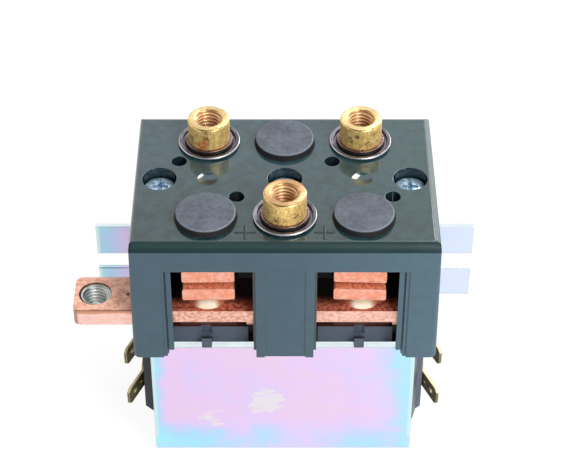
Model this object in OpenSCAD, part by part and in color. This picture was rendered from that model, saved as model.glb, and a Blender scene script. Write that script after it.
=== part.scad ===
// Double pole changeover contactor.
// Two solenoids stand side by side in one folded steel yoke.
// Each pulls down a plunger that carries two copper bars back to back.
// At rest the upper bars close on the upper fixed contacts.
// When pulled in, the lower bars close on the contacts below them.
// Millimetres. The origin is on the yoke's bottom face, midway between the two solenoids.
// X runs to the right, Y to the rear and Z up.

/* [Housing] */
// Width of the housing at its top
housing_w = 90; // [88:0.5:96]
// Depth of the housing at its top
housing_d = 61; // [60:0.5:66]
// Draft of the side walls, in degrees
side_draft = 0.9; // [0:0.1:1.5]
// Draft of the front and rear walls, in degrees
face_draft = 0.3; // [0:0.1:0.8]
// Thickness of the top plate
top_t = 4; // [3:0.25:6]
// Thickness of the side walls
wall_t = 2.5; // [2:0.25:3.5]
// Thickness of the front and rear walls
face_t = 3; // [2.2:0.1:3.6]
// Radius along the top edges
edge_r = 2; // [1:0.25:3]
// Radius of the upright corners
corner_r = 2; // [1.5:0.25:4]
// How far the walls reach below the yoke's top edge
skirt_lap = 0; // [0:0.1:1]
// Thickness of the wall between the two contact chambers
partition_t = 2.5; // [2:0.25:4]

/* [Windows] */
// Width of the centre pillar, with its lips
pillar_w = 18.8; // [17:0.2:21]
// Width of the leg at each side, outside its lip
leg_w = 10; // [8:0.25:11]
// Distance from the housing's top down to the window head
window_drop = 9.9; // [9.6:0.1:13]
// Depth at which the window lips lie behind the face
lip_setback = 1; // [0.6:0.1:1.4]
// Width of the lip beside the pillar
inner_lip_w = 0.8; // [0.6:0.1:2]
// Width of the lip beside the leg
outer_lip_w = 1.6; // [1.2:0.1:3]
// Height of the lower end of the lips above the yoke's top edge
lip_rise = 2; // [1:0.1:3]
// Width of the groove between the outer lip and the leg
groove_w = 0.4; // [0.3:0.1:1]
// Wall left behind that groove
groove_floor = 1.4; // [0.6:0.1:1.8]
// Width of the shallow step on the leg
step_w = 1.1; // [0.8:0.1:3]
// Depth of that step
step_depth = 0.4; // [0.2:0.1:0.6]
// Width of the sunk panel on the centre pillar
panel_w = 12.2; // [10:0.2:14]
// Depth of that panel
panel_depth = 0.25; // [0.15:0.05:0.4]

/* [Top plate] */
// Distance of a terminal's axis from the outer edge of the copper below it
terminal_inset = 9.9; // [9:0.1:10.6]
// Distance of a side screw from the housing's side
screw_inset = 7.5; // [7:0.25:8]
// Diameter of the screw recesses
recess_dia = 10.3; // [9.8:0.1:11]
// Depth of the screw recesses
recess_depth = 5.8; // [4.5:0.1:6.5]
// Outer diameter of the tubes that the screws pass through
tube_dia = 10.8; // [9:0.2:11.6]
// Diameter of the vent holes
vent_dia = 4.65; // [3.5:0.05:5.5]
// Sideways distance of a vent from the solenoid's axis
vent_dx = 8.8; // [8:0.1:9.5]
// Distance of a vent from the centre line, front to rear
vent_dy = 8.3; // [7:0.1:9]
// Diameter of the dimple over each spindle
dimple_dia = 6.3; // [5:0.1:7]
// Depth of that dimple
dimple_depth = 0.5; // [0.2:0.1:0.8]

/* [Magnet frame] */
// Height of the yoke's front and rear plates
yoke_h = 47.4; // [45:0.2:52]
// Thickness of the yoke and the pole plate
yoke_t = 2.5; // [2:0.25:3]
// Distance from the housing's side in to the yoke's side
yoke_side_inset = 4.5; // [3.8:0.1:6]
// Distance from the housing's face in to the yoke's plate
yoke_face_inset = 4; // [3.6:0.1:5]
// Outer radius of the folds
bend_r = 3.5; // [3.1:0.1:5]
// Radius on the lower corners of the front and rear plates
plate_corner_r = 1.6; // [1:0.1:2.5]
// How far the yoke and the deck's blocks sit to the left of the housing's middle
unit_shift = 0.6; // [0:0.1:0.8]
// Width of the tongues that lock the pole plate in the yoke
lock_w = 12; // [8:0.5:16]

/* [Mounting bracket] */
// How far the bracket stands out beyond the housing's side
bracket_reach = 17; // [14:0.2:20]
// Thickness of the bracket behind the yoke
bracket_t = 4.3; // [4.3:0.1:5]
// Thickness of the bracket's wings
wing_t = 1.6; // [1.5:0.1:3]
// How far the bracket reaches above the yoke's top edge
bracket_rise = 0.3; // [0:0.1:3.4]
// Height of the bracket itself
bracket_h = 30; // [26:0.1:31.5]
// Width of the slots
slot_w = 6.6; // [5.4:0.1:8.4]
// Length of the slots, from the bracket's end to the middle of the round end
slot_l = 11.4; // [8:0.1:14]
// Diameter of the rivet shanks
rivet_dia = 4.8; // [4:0.1:5]
// Distance of the rivets from the yoke's side
rivet_side = 7.5; // [6:0.5:10]
// Distance of the lower rivets from the bracket's lower edge
rivet_low = 5; // [4:0.5:7]
// Rise from the lower to the upper rivets
rivet_rise = 15; // [12:0.5:17]

/* [Solenoids] */
// Diameter of the plungers and the fixed cores
plunger_dia = 14; // [12:0.1:15]
// Height of the fixed cores above the yoke's bottom plate
core_h = 17.7; // [14:0.1:20]
// Thickness of the bobbin flanges
flange_t = 1.6; // [1.2:0.1:2.4]
// How far the flanges stand out beyond the yoke's side
flange_proud = 0.2; // [0:0.1:0.6]
// Wall of the bobbin's tube
bobbin_wall = 1.15; // [0.9:0.05:1.6]
// Diameter of the return spring's wire
spring_wire = 0.9; // [0.7:0.05:1]
// Diameter of the pockets that hold the return spring
pocket_dia = 7.8; // [7.4:0.1:8.4]
// Depth of the spring pocket in the fixed core
core_pocket = 8; // [5:0.5:10]
// Depth of the spring pocket in the plunger
plunger_pocket = 10; // [6:0.5:11]
// Number of turns in the return spring
spring_turns = 8; // [6:1:9]

/* [Coil terminals] */
// Thickness of the terminal covers
cover_t = 3.4; // [2.6:0.1:3.8]
// Length of the terminal covers, front to rear
cover_l = 32; // [28:0.5:36]
// Height of the covers' lower edge
cover_z = 8.5; // [7:0.5:12]
// Width of the push-on tabs
tab_w = 6.35; // [4.8:0.05:6.35]
// Thickness of the push-on tabs
tab_t = 0.8; // [0.5:0.05:1]
// Length of the tabs beyond their foot
tab_l = 10; // [9:0.1:12]
// Length of the foot of a tab, front to rear
foot_l = 5; // [4:0.1:6]
// Angle of the tabs out from the housing's front, in degrees
tab_angle = 66; // [50:0.5:75]
// Distance from the top of the covers down to the upper tabs
tab_drop = 1.05; // [0.8:0.05:4]
// Rise from the lower tab to the upper tab
tab_rise = 17.6; // [9:0.1:17.6]

/* [Fixed copper] */
// Thickness of the fixed copper
copper_t = 5.5; // [4:0.1:6.5]
// Width of the common rail
rail_w = 15; // [14:0.1:16]
// Width of the copper below the terminals
link_w = 17; // [16:0.1:18]
// How far the common rail stands out beyond the housing's side
rail_reach = 18.3; // [15:0.1:22]
// Distance from the rail's end to the terminal's axis
insert_inset = 6.5; // [6.2:0.1:7.5]
// Radius on the end corners of the rail
rail_corner_r = 2; // [1:0.1:3]
// Gap between a moving bar and the upright of the rear contact
web_gap = 1.75; // [1.4:0.05:1.9]
// Diameter of the fixed contact tips
fixed_tip_dia = 11; // [9:0.1:12]
// Height of the fixed contact tips
fixed_tip_h = 1.6; // [1.2:0.1:2.4]
// Distance of the contact tips from the outer edge of the fixed copper
tip_inset = 6.4; // [5.8:0.1:6.8]
// Height of the relief along the lower front edge of the rail
relief_h = 1.1; // [0.5:0.1:1.6]
// Depth of that relief
relief_depth = 1; // [0.4:0.1:1.6]
// Diameter of the punch mark on the rail
punch_dia = 1.7; // [1:0.1:2.4]

/* [Moving contacts] */
// Width of the moving bars
bar_w = 15.5; // [14:0.1:16]
// Thickness of the moving bars
bar_t = 4.2; // [3:0.1:5]
// Distance of the bars' ends behind the housing's face
bar_end_gap = 2.75; // [2.4:0.05:3.5]
// Radius along the bars' edges
bar_edge_r = 0.6; // [0.3:0.1:1]
// Bow of the bars' ends
bar_bow = 0.8; // [0.4:0.1:1.6]
// Gap between the two bars of a pair
bar_gap = 2.8; // [2.4:0.1:4]
// Diameter of the moving contact tips
moving_tip_dia = 9; // [7:0.1:10]
// Height of the moving contact tips
moving_tip_h = 1.2; // [0.8:0.1:2]
// Gap between a moving bar and the tube of the side screw
bar_side_gap = 1.25; // [0.8:0.05:1.6]
// Turn of the left pair of bars on their spindle, in degrees
left_turn = 1.1; // [-2:0.1:2]
// Turn of the right pair of bars on their spindle, in degrees
right_turn = -2.1; // [-2.4:0.1:2]
// Travel of the plungers
travel = 2.2; // [1.6:0.1:3]
// Diameter of the spindles
spindle_dia = 4; // [3:0.1:4.4]

/* [Insulating deck] */
// Thickness of the deck over the yoke
deck_t = 6.5; // [5:0.1:8]
// Height of the pads that carry the fixed copper
pad_h = 4.1; // [2:0.1:6]
// Width of those pads
pad_w = 17; // [14:0.5:19]
// Width of the tongue on the front of the deck
tongue_w = 3; // [2:0.1:4]
// Height of that tongue
tongue_h = 3.6; // [2.4:0.1:4.2]

/* [Terminals] */
// Outer diameter of the brass bushes
bush_dia = 12.7; // [12:0.1:14]
// Height of the bushes above the housing
bush_h = 9.35; // [7:0.05:12]
// Bore of the bushes and the side insert, ready for the thread
bore_dia = 6.8; // [5.8:0.1:7]
// Wider diameter at the mouth of that bore
mouth_dia = 8.4; // [8:0.1:9]
// Diameter of the spigot below a bush
spigot_dia = 9.8; // [9:0.1:10.6]
// Diameter of the washers
washer_dia = 18.7; // [17:0.1:20]
// Thickness of the washers at the middle
washer_t = 1; // [0.8:0.1:1.6]
// Width of the raised brim of the washers
brim_w = 1.1; // [0.8:0.1:1.6]
// Diameter of the rings under the bushes
ring_dia = 14.1; // [13.8:0.1:15.5]
// Thickness of those rings
ring_t = 0.8; // [0.5:0.1:1.5]
// Outer diameter of the threaded insert in the side terminal
insert_dia = 9; // [8.8:0.1:10]
// Diameter of the rubber caps
cap_dia = 18.6; // [16:0.1:20]
// Height of the rubber caps
cap_h = 2.2; // [1.6:0.1:3]

/* [Screws] */
// Thread diameter of the housing screws
screw_dia = 5; // [4:0.1:5]
// Diameter of the screw heads
head_dia = 9.2; // [7.8:0.1:9.6]
// Height of the screw heads
head_h = 3; // [2.2:0.1:3.4]
// Crown of the screw heads
crown_h = 0.6; // [0.3:0.1:1.2]
// Width of the cross in the screw heads, from end to end
cross_l = 4.8; // [3.6:0.1:5.4]

/* [Hidden] */
$fn = 64;
eps = 0.01;
// How far a cut runs on past the surface that it opens
over = 1;
// Clearances: a slip fit, a seat, a free gap and a gap round moving pieces
slip = 0.05;
seat = 0.1;
loose = 0.3;
open_gap = 0.6;

// Heights, stacked from the yoke's bottom face
deck_z = yoke_h;
deck_top = deck_z + deck_t;
rail_z = deck_top + pad_h;
rail_top = rail_z + copper_t;
low_bar_z = rail_top + fixed_tip_h + travel + moving_tip_h;
low_bar_top = low_bar_z + bar_t;
up_bar_z = low_bar_top + bar_gap;
up_bar_top = up_bar_z + bar_t;
link_z = up_bar_top + moving_tip_h + fixed_tip_h;
link_top = link_z + copper_t;
housing_top = link_top + top_t;
housing_z = yoke_h - skirt_lap;
housing_h = housing_top - housing_z;
window_z = housing_top - window_drop;
lip_z = yoke_h + lip_rise;
bush_z = housing_top + washer_t + ring_t;
bush_top = housing_top + bush_h;
head_z = housing_top - recess_depth;
pole_z = yoke_h - yoke_t;
core_top = yoke_t + core_h;
air_gap = travel + 0.2;
plunger_z = core_top + air_gap;
plunger_top = yoke_h + 1.6;
spring_z = core_top - core_pocket;
spring_l = core_pocket + air_gap + plunger_pocket;

// Places in plan
yoke_w = housing_w - 2 * yoke_side_inset;
yoke_d = housing_d - 2 * yoke_face_inset;
yoke_in_y = yoke_d / 2 - yoke_t;
bracket_z = yoke_h + bracket_rise - bracket_h;
copper_edge = housing_d / 2 - face_t - seat;
copper_y = copper_edge - rail_w / 2;
link_y = copper_edge - link_w / 2;
terminal_y = copper_edge - terminal_inset;
tip_y = copper_edge - tip_inset;
screw_x = housing_w / 2 - screw_inset;
screw_xs = [-screw_x, 0, screw_x];
contact_x = screw_x - tube_dia / 2 - bar_side_gap - bar_w / 2;
window_in = pillar_w / 2;
leg_x = housing_w / 2 - leg_w;
window_out = leg_x - outer_lip_w;
block_gap = 1.1;
block_lap = 0.2;
block_w = window_out - window_in - block_gap - block_lap;
cavity_w = housing_w - 2 * wall_t;
cavity_d = housing_d - 2 * face_t;

// Solenoid pieces
flange_gap = 2;
foot_inset = 1.4;
cover_drop = 0.9;
bobbin_play = 0.15;
flange_w = 2 * (yoke_w / 2 + flange_proud - contact_x);
flange_d = 2 * (yoke_in_y - flange_gap);
flange_r = 4;
bobbin_bore = plunger_dia + 2 * bobbin_play;
winding_dia = flange_w - open_gap;
cover_x = contact_x + flange_w / 2;
cover_top = pole_z - cover_drop;
cover_chamfer = 2.2;
cover_lip = 0.5;
foot_y = -cover_l / 2 + foot_inset;
up_tab_z = cover_top - tab_drop - tab_w;
low_tab_z = up_tab_z - tab_rise;

// The left cover is the thicker one, as the unit sits to the left
left_cover_t = cover_t + unit_shift;
right_cover_t = cover_t - unit_shift;

// Pieces on the spindle
carrier_r = 4.5;
collar_r = 7;
collar_t = 2.6;
sleeve_r = 5.5;
nut_flat = 7;
nut_t = 2.2;
nut_washer_t = 0.8;
nut_washer_r = 5.2;
nut_top = up_bar_top + nut_washer_t + nut_t;
guide_r = 4.5;
guide_depth = 1.6;
guide_play = 0.4;
socket_floor = 3;
spindle_top = link_top + guide_depth - guide_play;
spindle_z = plunger_z + plunger_pocket + socket_floor;

// Threaded insert and screws
insert_flange_t = 0.8;
insert_flange_r = insert_dia / 2 + 0.9;
insert_sink = 0.2;
rail_end = -(housing_w / 2 + rail_reach);
rail_right = leg_x + open_gap;
insert_x = rail_end + insert_inset;
tube_bore = screw_dia + open_gap;
recess_wall = 1.4;
recess_floor = 2;
recess_tube_r = recess_dia / 2 + recess_wall;
slot_x = housing_w / 2 + bracket_reach - slot_l;
slot_z = bracket_z + bracket_h / 2;
rivet_x = yoke_w / 2 - rivet_side;
rivet_spots = [for (x = [-rivet_x, rivet_x], z = [rivet_low, rivet_low + rivet_rise]) [x, z]];

// A block from its lowest corner to its highest corner
module block(low, high) {
  translate(low) cube(high - low);
}

// Children drawn once as they are and once mirrored left to right
module both_sides() {
  children();
  mirror([1, 0, 0]) children();
}

// Children drawn once as they are and once mirrored front to rear
module both_faces() {
  children();
  mirror([0, 1, 0]) children();
}

// A rectangle about the origin with round corners
module round_rect(w, h, r) {
  square([w - 2 * r, h], center = true);
  square([w, h - 2 * r], center = true);
  for (sx = [-1, 1], sy = [-1, 1]) translate([sx * (w / 2 - r), sy * (h / 2 - r)]) circle(r = r);
}

// Upright section of the housing: sides that lean out by the draft, round top edges
module drafted_section(w, draft) {
  lean = tan(draft);
  cy = housing_top - edge_r;
  cx = w / 2 + lean * edge_r - edge_r / cos(draft);
  side_x = cx + edge_r * cos(draft);
  side_y = cy + edge_r * sin(draft);
  foot_x = w / 2 + lean * housing_h;
  polygon([
    [-foot_x, housing_z], [foot_x, housing_z], [side_x, side_y], [cx, housing_top],
    [-cx, housing_top], [-side_x, side_y]
  ]);
  for (s = [-1, 1]) translate([s * cx, cy]) circle(r = edge_r);
}

// Outside of the housing
module housing_body() {
  w = housing_w + 2 * housing_h * tan(side_draft);
  d = housing_d + 2 * housing_h * tan(face_draft);
  intersection() {
    rotate([90, 0, 0]) linear_extrude(height = d + 2, center = true)
      drafted_section(housing_w, side_draft);
    rotate([90, 0, 90]) linear_extrude(height = w + 2, center = true)
      drafted_section(housing_d, face_draft);
    translate([0, 0, housing_z]) linear_extrude(height = housing_h) round_rect(w, d, corner_r);
  }
}

// One window in the front wall, with its lips, groove and stepped leg
module window_cut() {
  face = -housing_d / 2;
  outside = face - 3 * over;
  low = housing_z - over;
  block([window_in, outside, low], [window_out, face + face_t + eps, window_z]);
  block([window_in - inner_lip_w, outside, low], [leg_x, face + lip_setback, window_z]);
  block([window_in - inner_lip_w, outside, low], [leg_x, face + face_t + eps, lip_z]);
  block([leg_x - eps, outside, low], [leg_x + groove_w, face + face_t - groove_floor, window_z]);
  block([leg_x, outside, low], [leg_x + groove_w + step_w, face + step_depth, window_z]);
}

// Everything cut from the front wall, and from the rear wall in the same way
module face_cuts() {
  face = -housing_d / 2;
  both_sides() window_cut();
  block([-panel_w / 2, face - 3 * over, housing_z - over], [panel_w / 2, face + panel_depth, window_z]);
}

// Holes and recesses that open on the top plate
module top_cuts() {
  dimple_ball_r = (dimple_dia * dimple_dia / 4 + dimple_depth * dimple_depth) / (2 * dimple_depth);
  for (x = screw_xs) translate([x, 0, head_z])
    cylinder(d = recess_dia, h = recess_depth + over);
  for (x = screw_xs) translate([x, 0, deck_top - over])
    cylinder(d = tube_bore, h = housing_top - deck_top);
  for (x = [-contact_x, 0, contact_x], y = [-terminal_y, terminal_y]) translate([x, y, link_top - over])
    cylinder(d = spigot_dia + 2 * seat, h = top_t + 2 * over);
  for (s = [-1, 1]) translate([s * contact_x, 0, 0]) {
    translate([0, 0, housing_top - dimple_depth + dimple_ball_r]) sphere(r = dimple_ball_r);
    translate([0, 0, nut_top]) cylinder(d = spindle_dia + 2 * slip, h = link_top + guide_depth - nut_top);
    for (t = [-1, 1]) translate([t * vent_dx, -t * vent_dy, link_top - over])
      cylinder(d = vent_dia, h = top_t + 2 * over);
  }
}

// Moulded housing over the contacts
module housing() {
  color([0.30, 0.38, 0.40]) difference() {
    union() {
      difference() {
        housing_body();
        block([-cavity_w / 2, -cavity_d / 2, housing_z - over], [cavity_w / 2, cavity_d / 2, link_top]);
      }
      for (x = screw_xs) {
        translate([x, 0, deck_top]) cylinder(d = tube_dia, h = link_top - deck_top + eps);
        translate([x, 0, head_z - recess_floor])
          cylinder(r = recess_tube_r, h = link_top - head_z + recess_floor + eps);
      }
      for (s = [-1, 1]) translate([s * contact_x, 0, nut_top + open_gap])
        cylinder(r = guide_r, h = link_top - nut_top - open_gap + eps);
      block([-partition_t / 2, -copper_edge + link_w + open_gap, deck_top + loose],
        [partition_t / 2, cavity_d / 2 + eps, link_top + eps]);
    }
    both_faces() face_cuts();
    top_cuts();
    // Way for the common rail through the left wall, open below for fitting
    block([-housing_w, -copper_y - rail_w / 2 - slip, housing_z - over],
      [-cavity_w / 2 + eps, -copper_y + rail_w / 2 + slip, rail_top + slip]);
    // Room for the mounting bracket across the rear
    block([-housing_w, yoke_d / 2 - slip, housing_z - over],
      [housing_w, housing_d, bracket_z + bracket_h + loose]);
  }
}

// Side profile of the folded yoke
module yoke_profile() {
  r = bend_r;
  in_r = bend_r - yoke_t;
  difference() {
    union() {
      translate([-yoke_d / 2, r]) square([yoke_d, yoke_h - r]);
      translate([-yoke_d / 2 + r, 0]) square([yoke_d - 2 * r, yoke_h]);
      for (s = [-1, 1]) translate([s * (yoke_d / 2 - r), r]) circle(r = r);
    }
    translate([-yoke_in_y, yoke_t + in_r]) square([2 * yoke_in_y, yoke_h]);
    translate([-yoke_in_y + in_r, yoke_t]) square([2 * (yoke_in_y - in_r), yoke_h]);
    for (s = [-1, 1]) translate([s * (yoke_in_y - in_r), yoke_t + in_r]) circle(r = in_r);
  }
}

// Wedge that rounds one lower corner of the front plate
module plate_corner_cut() {
  r = plate_corner_r;
  translate([yoke_w / 2 - r, -yoke_d / 2 - over, 0]) difference() {
    block([0, 0, -over], [r + over, bend_r + over, r]);
    translate([0, -over, r]) rotate([-90, 0, 0]) cylinder(r = r, h = bend_r + 3 * over);
  }
}

// Steel yoke folded to a U, open at the top
module yoke() {
  color([0.80, 0.80, 0.88]) difference() {
    translate([-unit_shift, 0, 0]) difference() {
      rotate([90, 0, 90]) linear_extrude(height = yoke_w, center = true) yoke_profile();
      both_sides() both_faces() plate_corner_cut();
    }
    block([-lock_w / 2 - slip, -yoke_d, pole_z], [lock_w / 2 + slip, yoke_d, yoke_h + over]);
    for (s = [-1, 1]) translate([s * contact_x, 0, -over])
      cylinder(d = plunger_dia / 2 + 2 * slip, h = yoke_t + 2 * over);
    for (p = rivet_spots) translate([p[0], yoke_in_y - over, bracket_z + p[1]])
      rotate([-90, 0, 0]) cylinder(d = rivet_dia + 2 * slip, h = yoke_t + 2 * over);
  }
}

// Steel plate across the top of the yoke
module pole_plate() {
  color([0.75, 0.75, 0.82]) difference() {
    union() {
      block([-yoke_w / 2 - unit_shift, -yoke_in_y, pole_z], [yoke_w / 2 - unit_shift, yoke_in_y, yoke_h]);
      block([-lock_w / 2, -yoke_d / 2, pole_z], [lock_w / 2, yoke_d / 2, yoke_h]);
    }
    for (s = [-1, 1]) translate([s * contact_x, 0, pole_z - over])
      cylinder(d = plunger_dia + 2 * open_gap, h = yoke_t + 2 * over);
    for (x = screw_xs) translate([x, 0, pole_z - over])
      cylinder(d = screw_dia + 2 * slip, h = yoke_t + 2 * over);
  }
}

// Flat bracket across the rear, with an open slot at each end
module mounting_bracket() {
  half = housing_w / 2 + bracket_reach;
  color([0.82, 0.82, 0.90]) difference() {
    union() {
      block([-housing_w / 2, yoke_d / 2, bracket_z],
        [housing_w / 2, yoke_d / 2 + bracket_t, bracket_z + bracket_h]);
      block([-half, yoke_d / 2 + bracket_t - wing_t, bracket_z],
        [half, yoke_d / 2 + bracket_t, bracket_z + bracket_h]);
    }
    both_sides() {
      translate([slot_x, yoke_d / 2 - over, slot_z]) rotate([-90, 0, 0])
        cylinder(d = slot_w, h = bracket_t + 2 * over);
      block([slot_x, yoke_d / 2 - over, slot_z - slot_w / 2],
        [half + over, yoke_d / 2 + bracket_t + over, slot_z + slot_w / 2]);
    }
    for (p = rivet_spots) translate([p[0], yoke_d / 2, bracket_z + p[1]]) rotate([-90, 0, 0]) {
      translate([0, 0, -over]) cylinder(d = rivet_dia + 2 * slip, h = bracket_t + 2 * over);
      translate([0, 0, bracket_t - rivet_dia / 2])
        cylinder(d1 = rivet_dia + 2 * slip, d2 = 2 * rivet_dia + 2 * slip, h = rivet_dia / 2 + eps);
    }
  }
}

// Rivet along Z, its sunk head flush with the top at z = 0
module sunk_rivet(grip) {
  cone_h = rivet_dia / 2;
  tail_h = rivet_dia / 4;
  translate([0, 0, -grip]) cylinder(d = rivet_dia, h = grip);
  translate([0, 0, -cone_h]) cylinder(d1 = rivet_dia, d2 = 2 * rivet_dia, h = cone_h);
  translate([0, 0, -grip - tail_h]) cylinder(d = 1.5 * rivet_dia, h = tail_h);
}

// Rivets that hold the bracket on the yoke
module bracket_rivets() {
  color([0.70, 0.70, 0.76]) for (p = rivet_spots)
    translate([p[0], yoke_d / 2 + bracket_t, bracket_z + p[1]]) rotate([-90, 0, 0])
      sunk_rivet(bracket_t + yoke_t);
}

// Groove and hooked tongue in the front of the deck
module deck_front(x) {
  face = -yoke_in_y;
  tongue_z = deck_z + tongue_h;
  groove_depth = 0.6;
  hook_t = 0.6;
  left = x - tongue_w / 2;
  right = x + tongue_w / 2;
  difference() {
    children();
    block([left, face - over, tongue_z], [right, face + groove_depth, deck_top + over]);
  }
  block([left, -yoke_d / 2, deck_z], [right, face + eps, deck_z + hook_t]);
  block([left, -yoke_d / 2, deck_z], [right, -yoke_d / 2 + hook_t, tongue_z]);
}

// Left edge of a deck block on side s
function block_left(s) = s * (window_in + block_gap + block_w / 2) - block_w / 2 - unit_shift;

// One of the deck's four blocks, on side s, with the pad for the fixed copper
module deck_block(s) {
  pad_back = 0.8;
  left = block_left(s);
  deck_front(s * contact_x - unit_shift)
    block([left, -yoke_in_y, deck_z], [left + block_w, 0, deck_top]);
  block([s * contact_x - pad_w / 2, -yoke_in_y + pad_back, deck_z],
    [s * contact_x + pad_w / 2, -copper_y + rail_w / 2 - open_gap, rail_z]);
}

// Insulating deck that carries the fixed copper over the coils
module insulating_deck() {
  deck_step = 2.5;
  sill_lap = 2;
  half_w = cavity_w / 2 - loose;
  half_d = yoke_in_y - deck_step;
  color([0.33, 0.35, 0.42]) difference() {
    union() {
      block([-half_w, -half_d, deck_z], [half_w, half_d, deck_top]);
      for (s = [-1, 1]) both_faces() deck_block(s);
      // Sill under the common rail where it leaves the housing
      block([-housing_w / 2 + seat, -copper_y - rail_w / 2 + seat, deck_z + open_gap],
        [-half_w + sill_lap, -copper_y + rail_w / 2 - seat, rail_z]);
    }
    for (s = [-1, 1]) translate([s * contact_x, 0, deck_z - over])
      cylinder(d = plunger_dia + 4 * open_gap, h = deck_t + pad_h + 2 * over);
    for (x = screw_xs) translate([x, 0, deck_z - over])
      cylinder(d = screw_dia + 2 * slip, h = deck_t + 2 * over);
  }
}

// Bobbin: a tube with a flange at each end
module bobbin(side) {
  color([0.16, 0.17, 0.19]) translate([side * contact_x, 0, 0]) difference() {
    union() {
      for (z = [yoke_t, pole_z - flange_t]) translate([0, 0, z]) linear_extrude(height = flange_t)
        round_rect(flange_w, flange_d, flange_r);
      translate([0, 0, yoke_t]) cylinder(d = bobbin_bore + 2 * bobbin_wall, h = pole_z - yoke_t);
    }
    translate([0, 0, yoke_t - over]) cylinder(d = bobbin_bore, h = pole_z - yoke_t + 2 * over);
  }
}

// Coil of wire with its outer wrap
module winding(side) {
  color([0.25, 0.22, 0.18]) translate([side * contact_x, 0, yoke_t + flange_t]) difference() {
    cylinder(d = winding_dia, h = pole_z - yoke_t - 2 * flange_t);
    translate([0, 0, -over]) cylinder(d = bobbin_bore + 2 * bobbin_wall, h = pole_z);
  }
}

// Section of a terminal cover: a chamfered foot and a thinner top
module cover_section(t) {
  polygon([
    [cover_x, cover_z], [cover_x + t - cover_chamfer, cover_z],
    [cover_x + t, cover_z + cover_chamfer], [cover_x + t, cover_top - cover_lip],
    [cover_x + t - cover_lip, cover_top], [cover_x, cover_top]
  ]);
}

// Plan of the cover's slanted ends
module cover_ends() {
  end_t = 1.3;
  end_l = 4;
  polygon([
    [cover_x, -cover_l / 2 - end_l], [cover_x + end_t, -cover_l / 2],
    [cover_x + end_t, cover_l / 2], [cover_x, cover_l / 2 + end_l]
  ]);
}

// Moulded cover on the outer side of a coil, with two hooks under the bobbin's flange
module terminal_cover(t) {
  hook_w = cover_l / 10;
  hook_t = 1.6;
  hook_reach = 3;
  hook_y = cover_l / 2 - 1.5 * hook_w;
  hook_z = pole_z - flange_t;
  color([0.20, 0.22, 0.26]) {
    rotate([90, 0, 0]) linear_extrude(height = cover_l, center = true) cover_section(t);
    translate([0, 0, cover_z]) linear_extrude(height = cover_top - cover_z) cover_ends();
    for (s = [-1, 1]) block([cover_x - hook_reach, s * hook_y - hook_w / 2, hook_z - hook_t],
      [cover_x + eps, s * hook_y + hook_w / 2, hook_z]);
  }
}

// Flat outline of a tab's blade: chamfered tip, locking hole and lead hole
module tab_outline() {
  tip = 1.3;
  nose = 1;
  difference() {
    polygon([
      [0, 0], [tab_l - tip, 0], [tab_l, nose], [tab_l, tab_w - nose],
      [tab_l - tip, tab_w], [0, tab_w]
    ]);
    translate([0.62 * tab_l, tab_w / 2]) circle(r = tab_w / 7);
    translate([0.2 * tab_l, tab_w / 2]) circle(r = tab_w / 10);
  }
}

// Push-on tab: a foot on the cover and a blade that leans out to the front
module coil_tab(t, z) {
  color([0.72, 0.60, 0.30]) translate([cover_x + t, foot_y, z]) {
    cube([tab_t, foot_l, tab_w]);
    rotate([0, 0, -tab_angle]) rotate([90, 0, 0]) translate([0, 0, -tab_t])
      linear_extrude(height = tab_t) tab_outline();
  }
}

// Fixed core, riveted through the yoke, with a pocket for the return spring
module core(side) {
  color([0.55, 0.55, 0.58]) translate([side * contact_x, 0, 0]) difference() {
    union() {
      cylinder(d = plunger_dia / 2, h = yoke_t + eps);
      translate([0, 0, yoke_t]) cylinder(d = plunger_dia, h = core_h);
    }
    translate([0, 0, spring_z]) cylinder(d = pocket_dia, h = core_pocket + over);
  }
}

// Copper rail shared by both lower contacts, with the side terminal at its left end
module common_rail() {
  r = rail_corner_r;
  punch_x = insert_x + 1.52 * insert_inset;
  punch_depth = punch_dia / 2;
  relief_stop = 0.4;
  mid_y = -copper_y;
  color([0.86, 0.52, 0.42]) difference() {
    union() {
      block([rail_end + r, mid_y - rail_w / 2, rail_z], [rail_right, mid_y + rail_w / 2, rail_top]);
      block([rail_end, mid_y - rail_w / 2 + r, rail_z],
        [rail_end + r + eps, mid_y + rail_w / 2 - r, rail_top]);
      for (s = [-1, 1]) translate([rail_end + r, mid_y + s * (rail_w / 2 - r), rail_z])
        cylinder(r = r, h = copper_t);
    }
    translate([insert_x, mid_y, rail_z - over])
      cylinder(d = insert_dia + 2 * slip, h = copper_t + 2 * over);
    translate([punch_x, mid_y, rail_top - punch_depth])
      cylinder(d1 = 0, d2 = punch_dia, h = punch_depth + eps);
    // Relief over each block of the deck
    for (s = [-1, 1]) block([block_left(s) - over, -copper_edge - over, rail_z - over],
      [block_left(s) + block_w - relief_stop, -copper_edge + relief_depth, rail_z + relief_h]);
  }
}

// Steel insert pressed into the rail from below
module threaded_insert() {
  top = rail_top - insert_sink;
  mouth = (mouth_dia - bore_dia) / 2;
  color([0.70, 0.71, 0.73]) translate([insert_x, -copper_y, 0]) difference() {
    union() {
      translate([0, 0, rail_z - insert_flange_t]) cylinder(r = insert_flange_r, h = insert_flange_t);
      translate([0, 0, rail_z - eps]) cylinder(d = insert_dia, h = top - rail_z + eps);
    }
    translate([0, 0, rail_z - insert_flange_t - over])
      cylinder(d = bore_dia, h = copper_t + insert_flange_t + 2 * over);
    translate([0, 0, top - mouth]) cylinder(d1 = bore_dia, d2 = mouth_dia, h = mouth + eps);
  }
}

// Copper link from the front terminal to both upper contacts
module upper_link() {
  half = contact_x + bar_w / 2;
  color([0.86, 0.52, 0.42]) difference() {
    block([-half, -copper_edge, link_z], [half, -copper_edge + link_w, link_top]);
    translate([0, -terminal_y, link_z - over]) cylinder(d = spigot_dia + 2 * slip, h = copper_t + 2 * over);
  }
}

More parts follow.
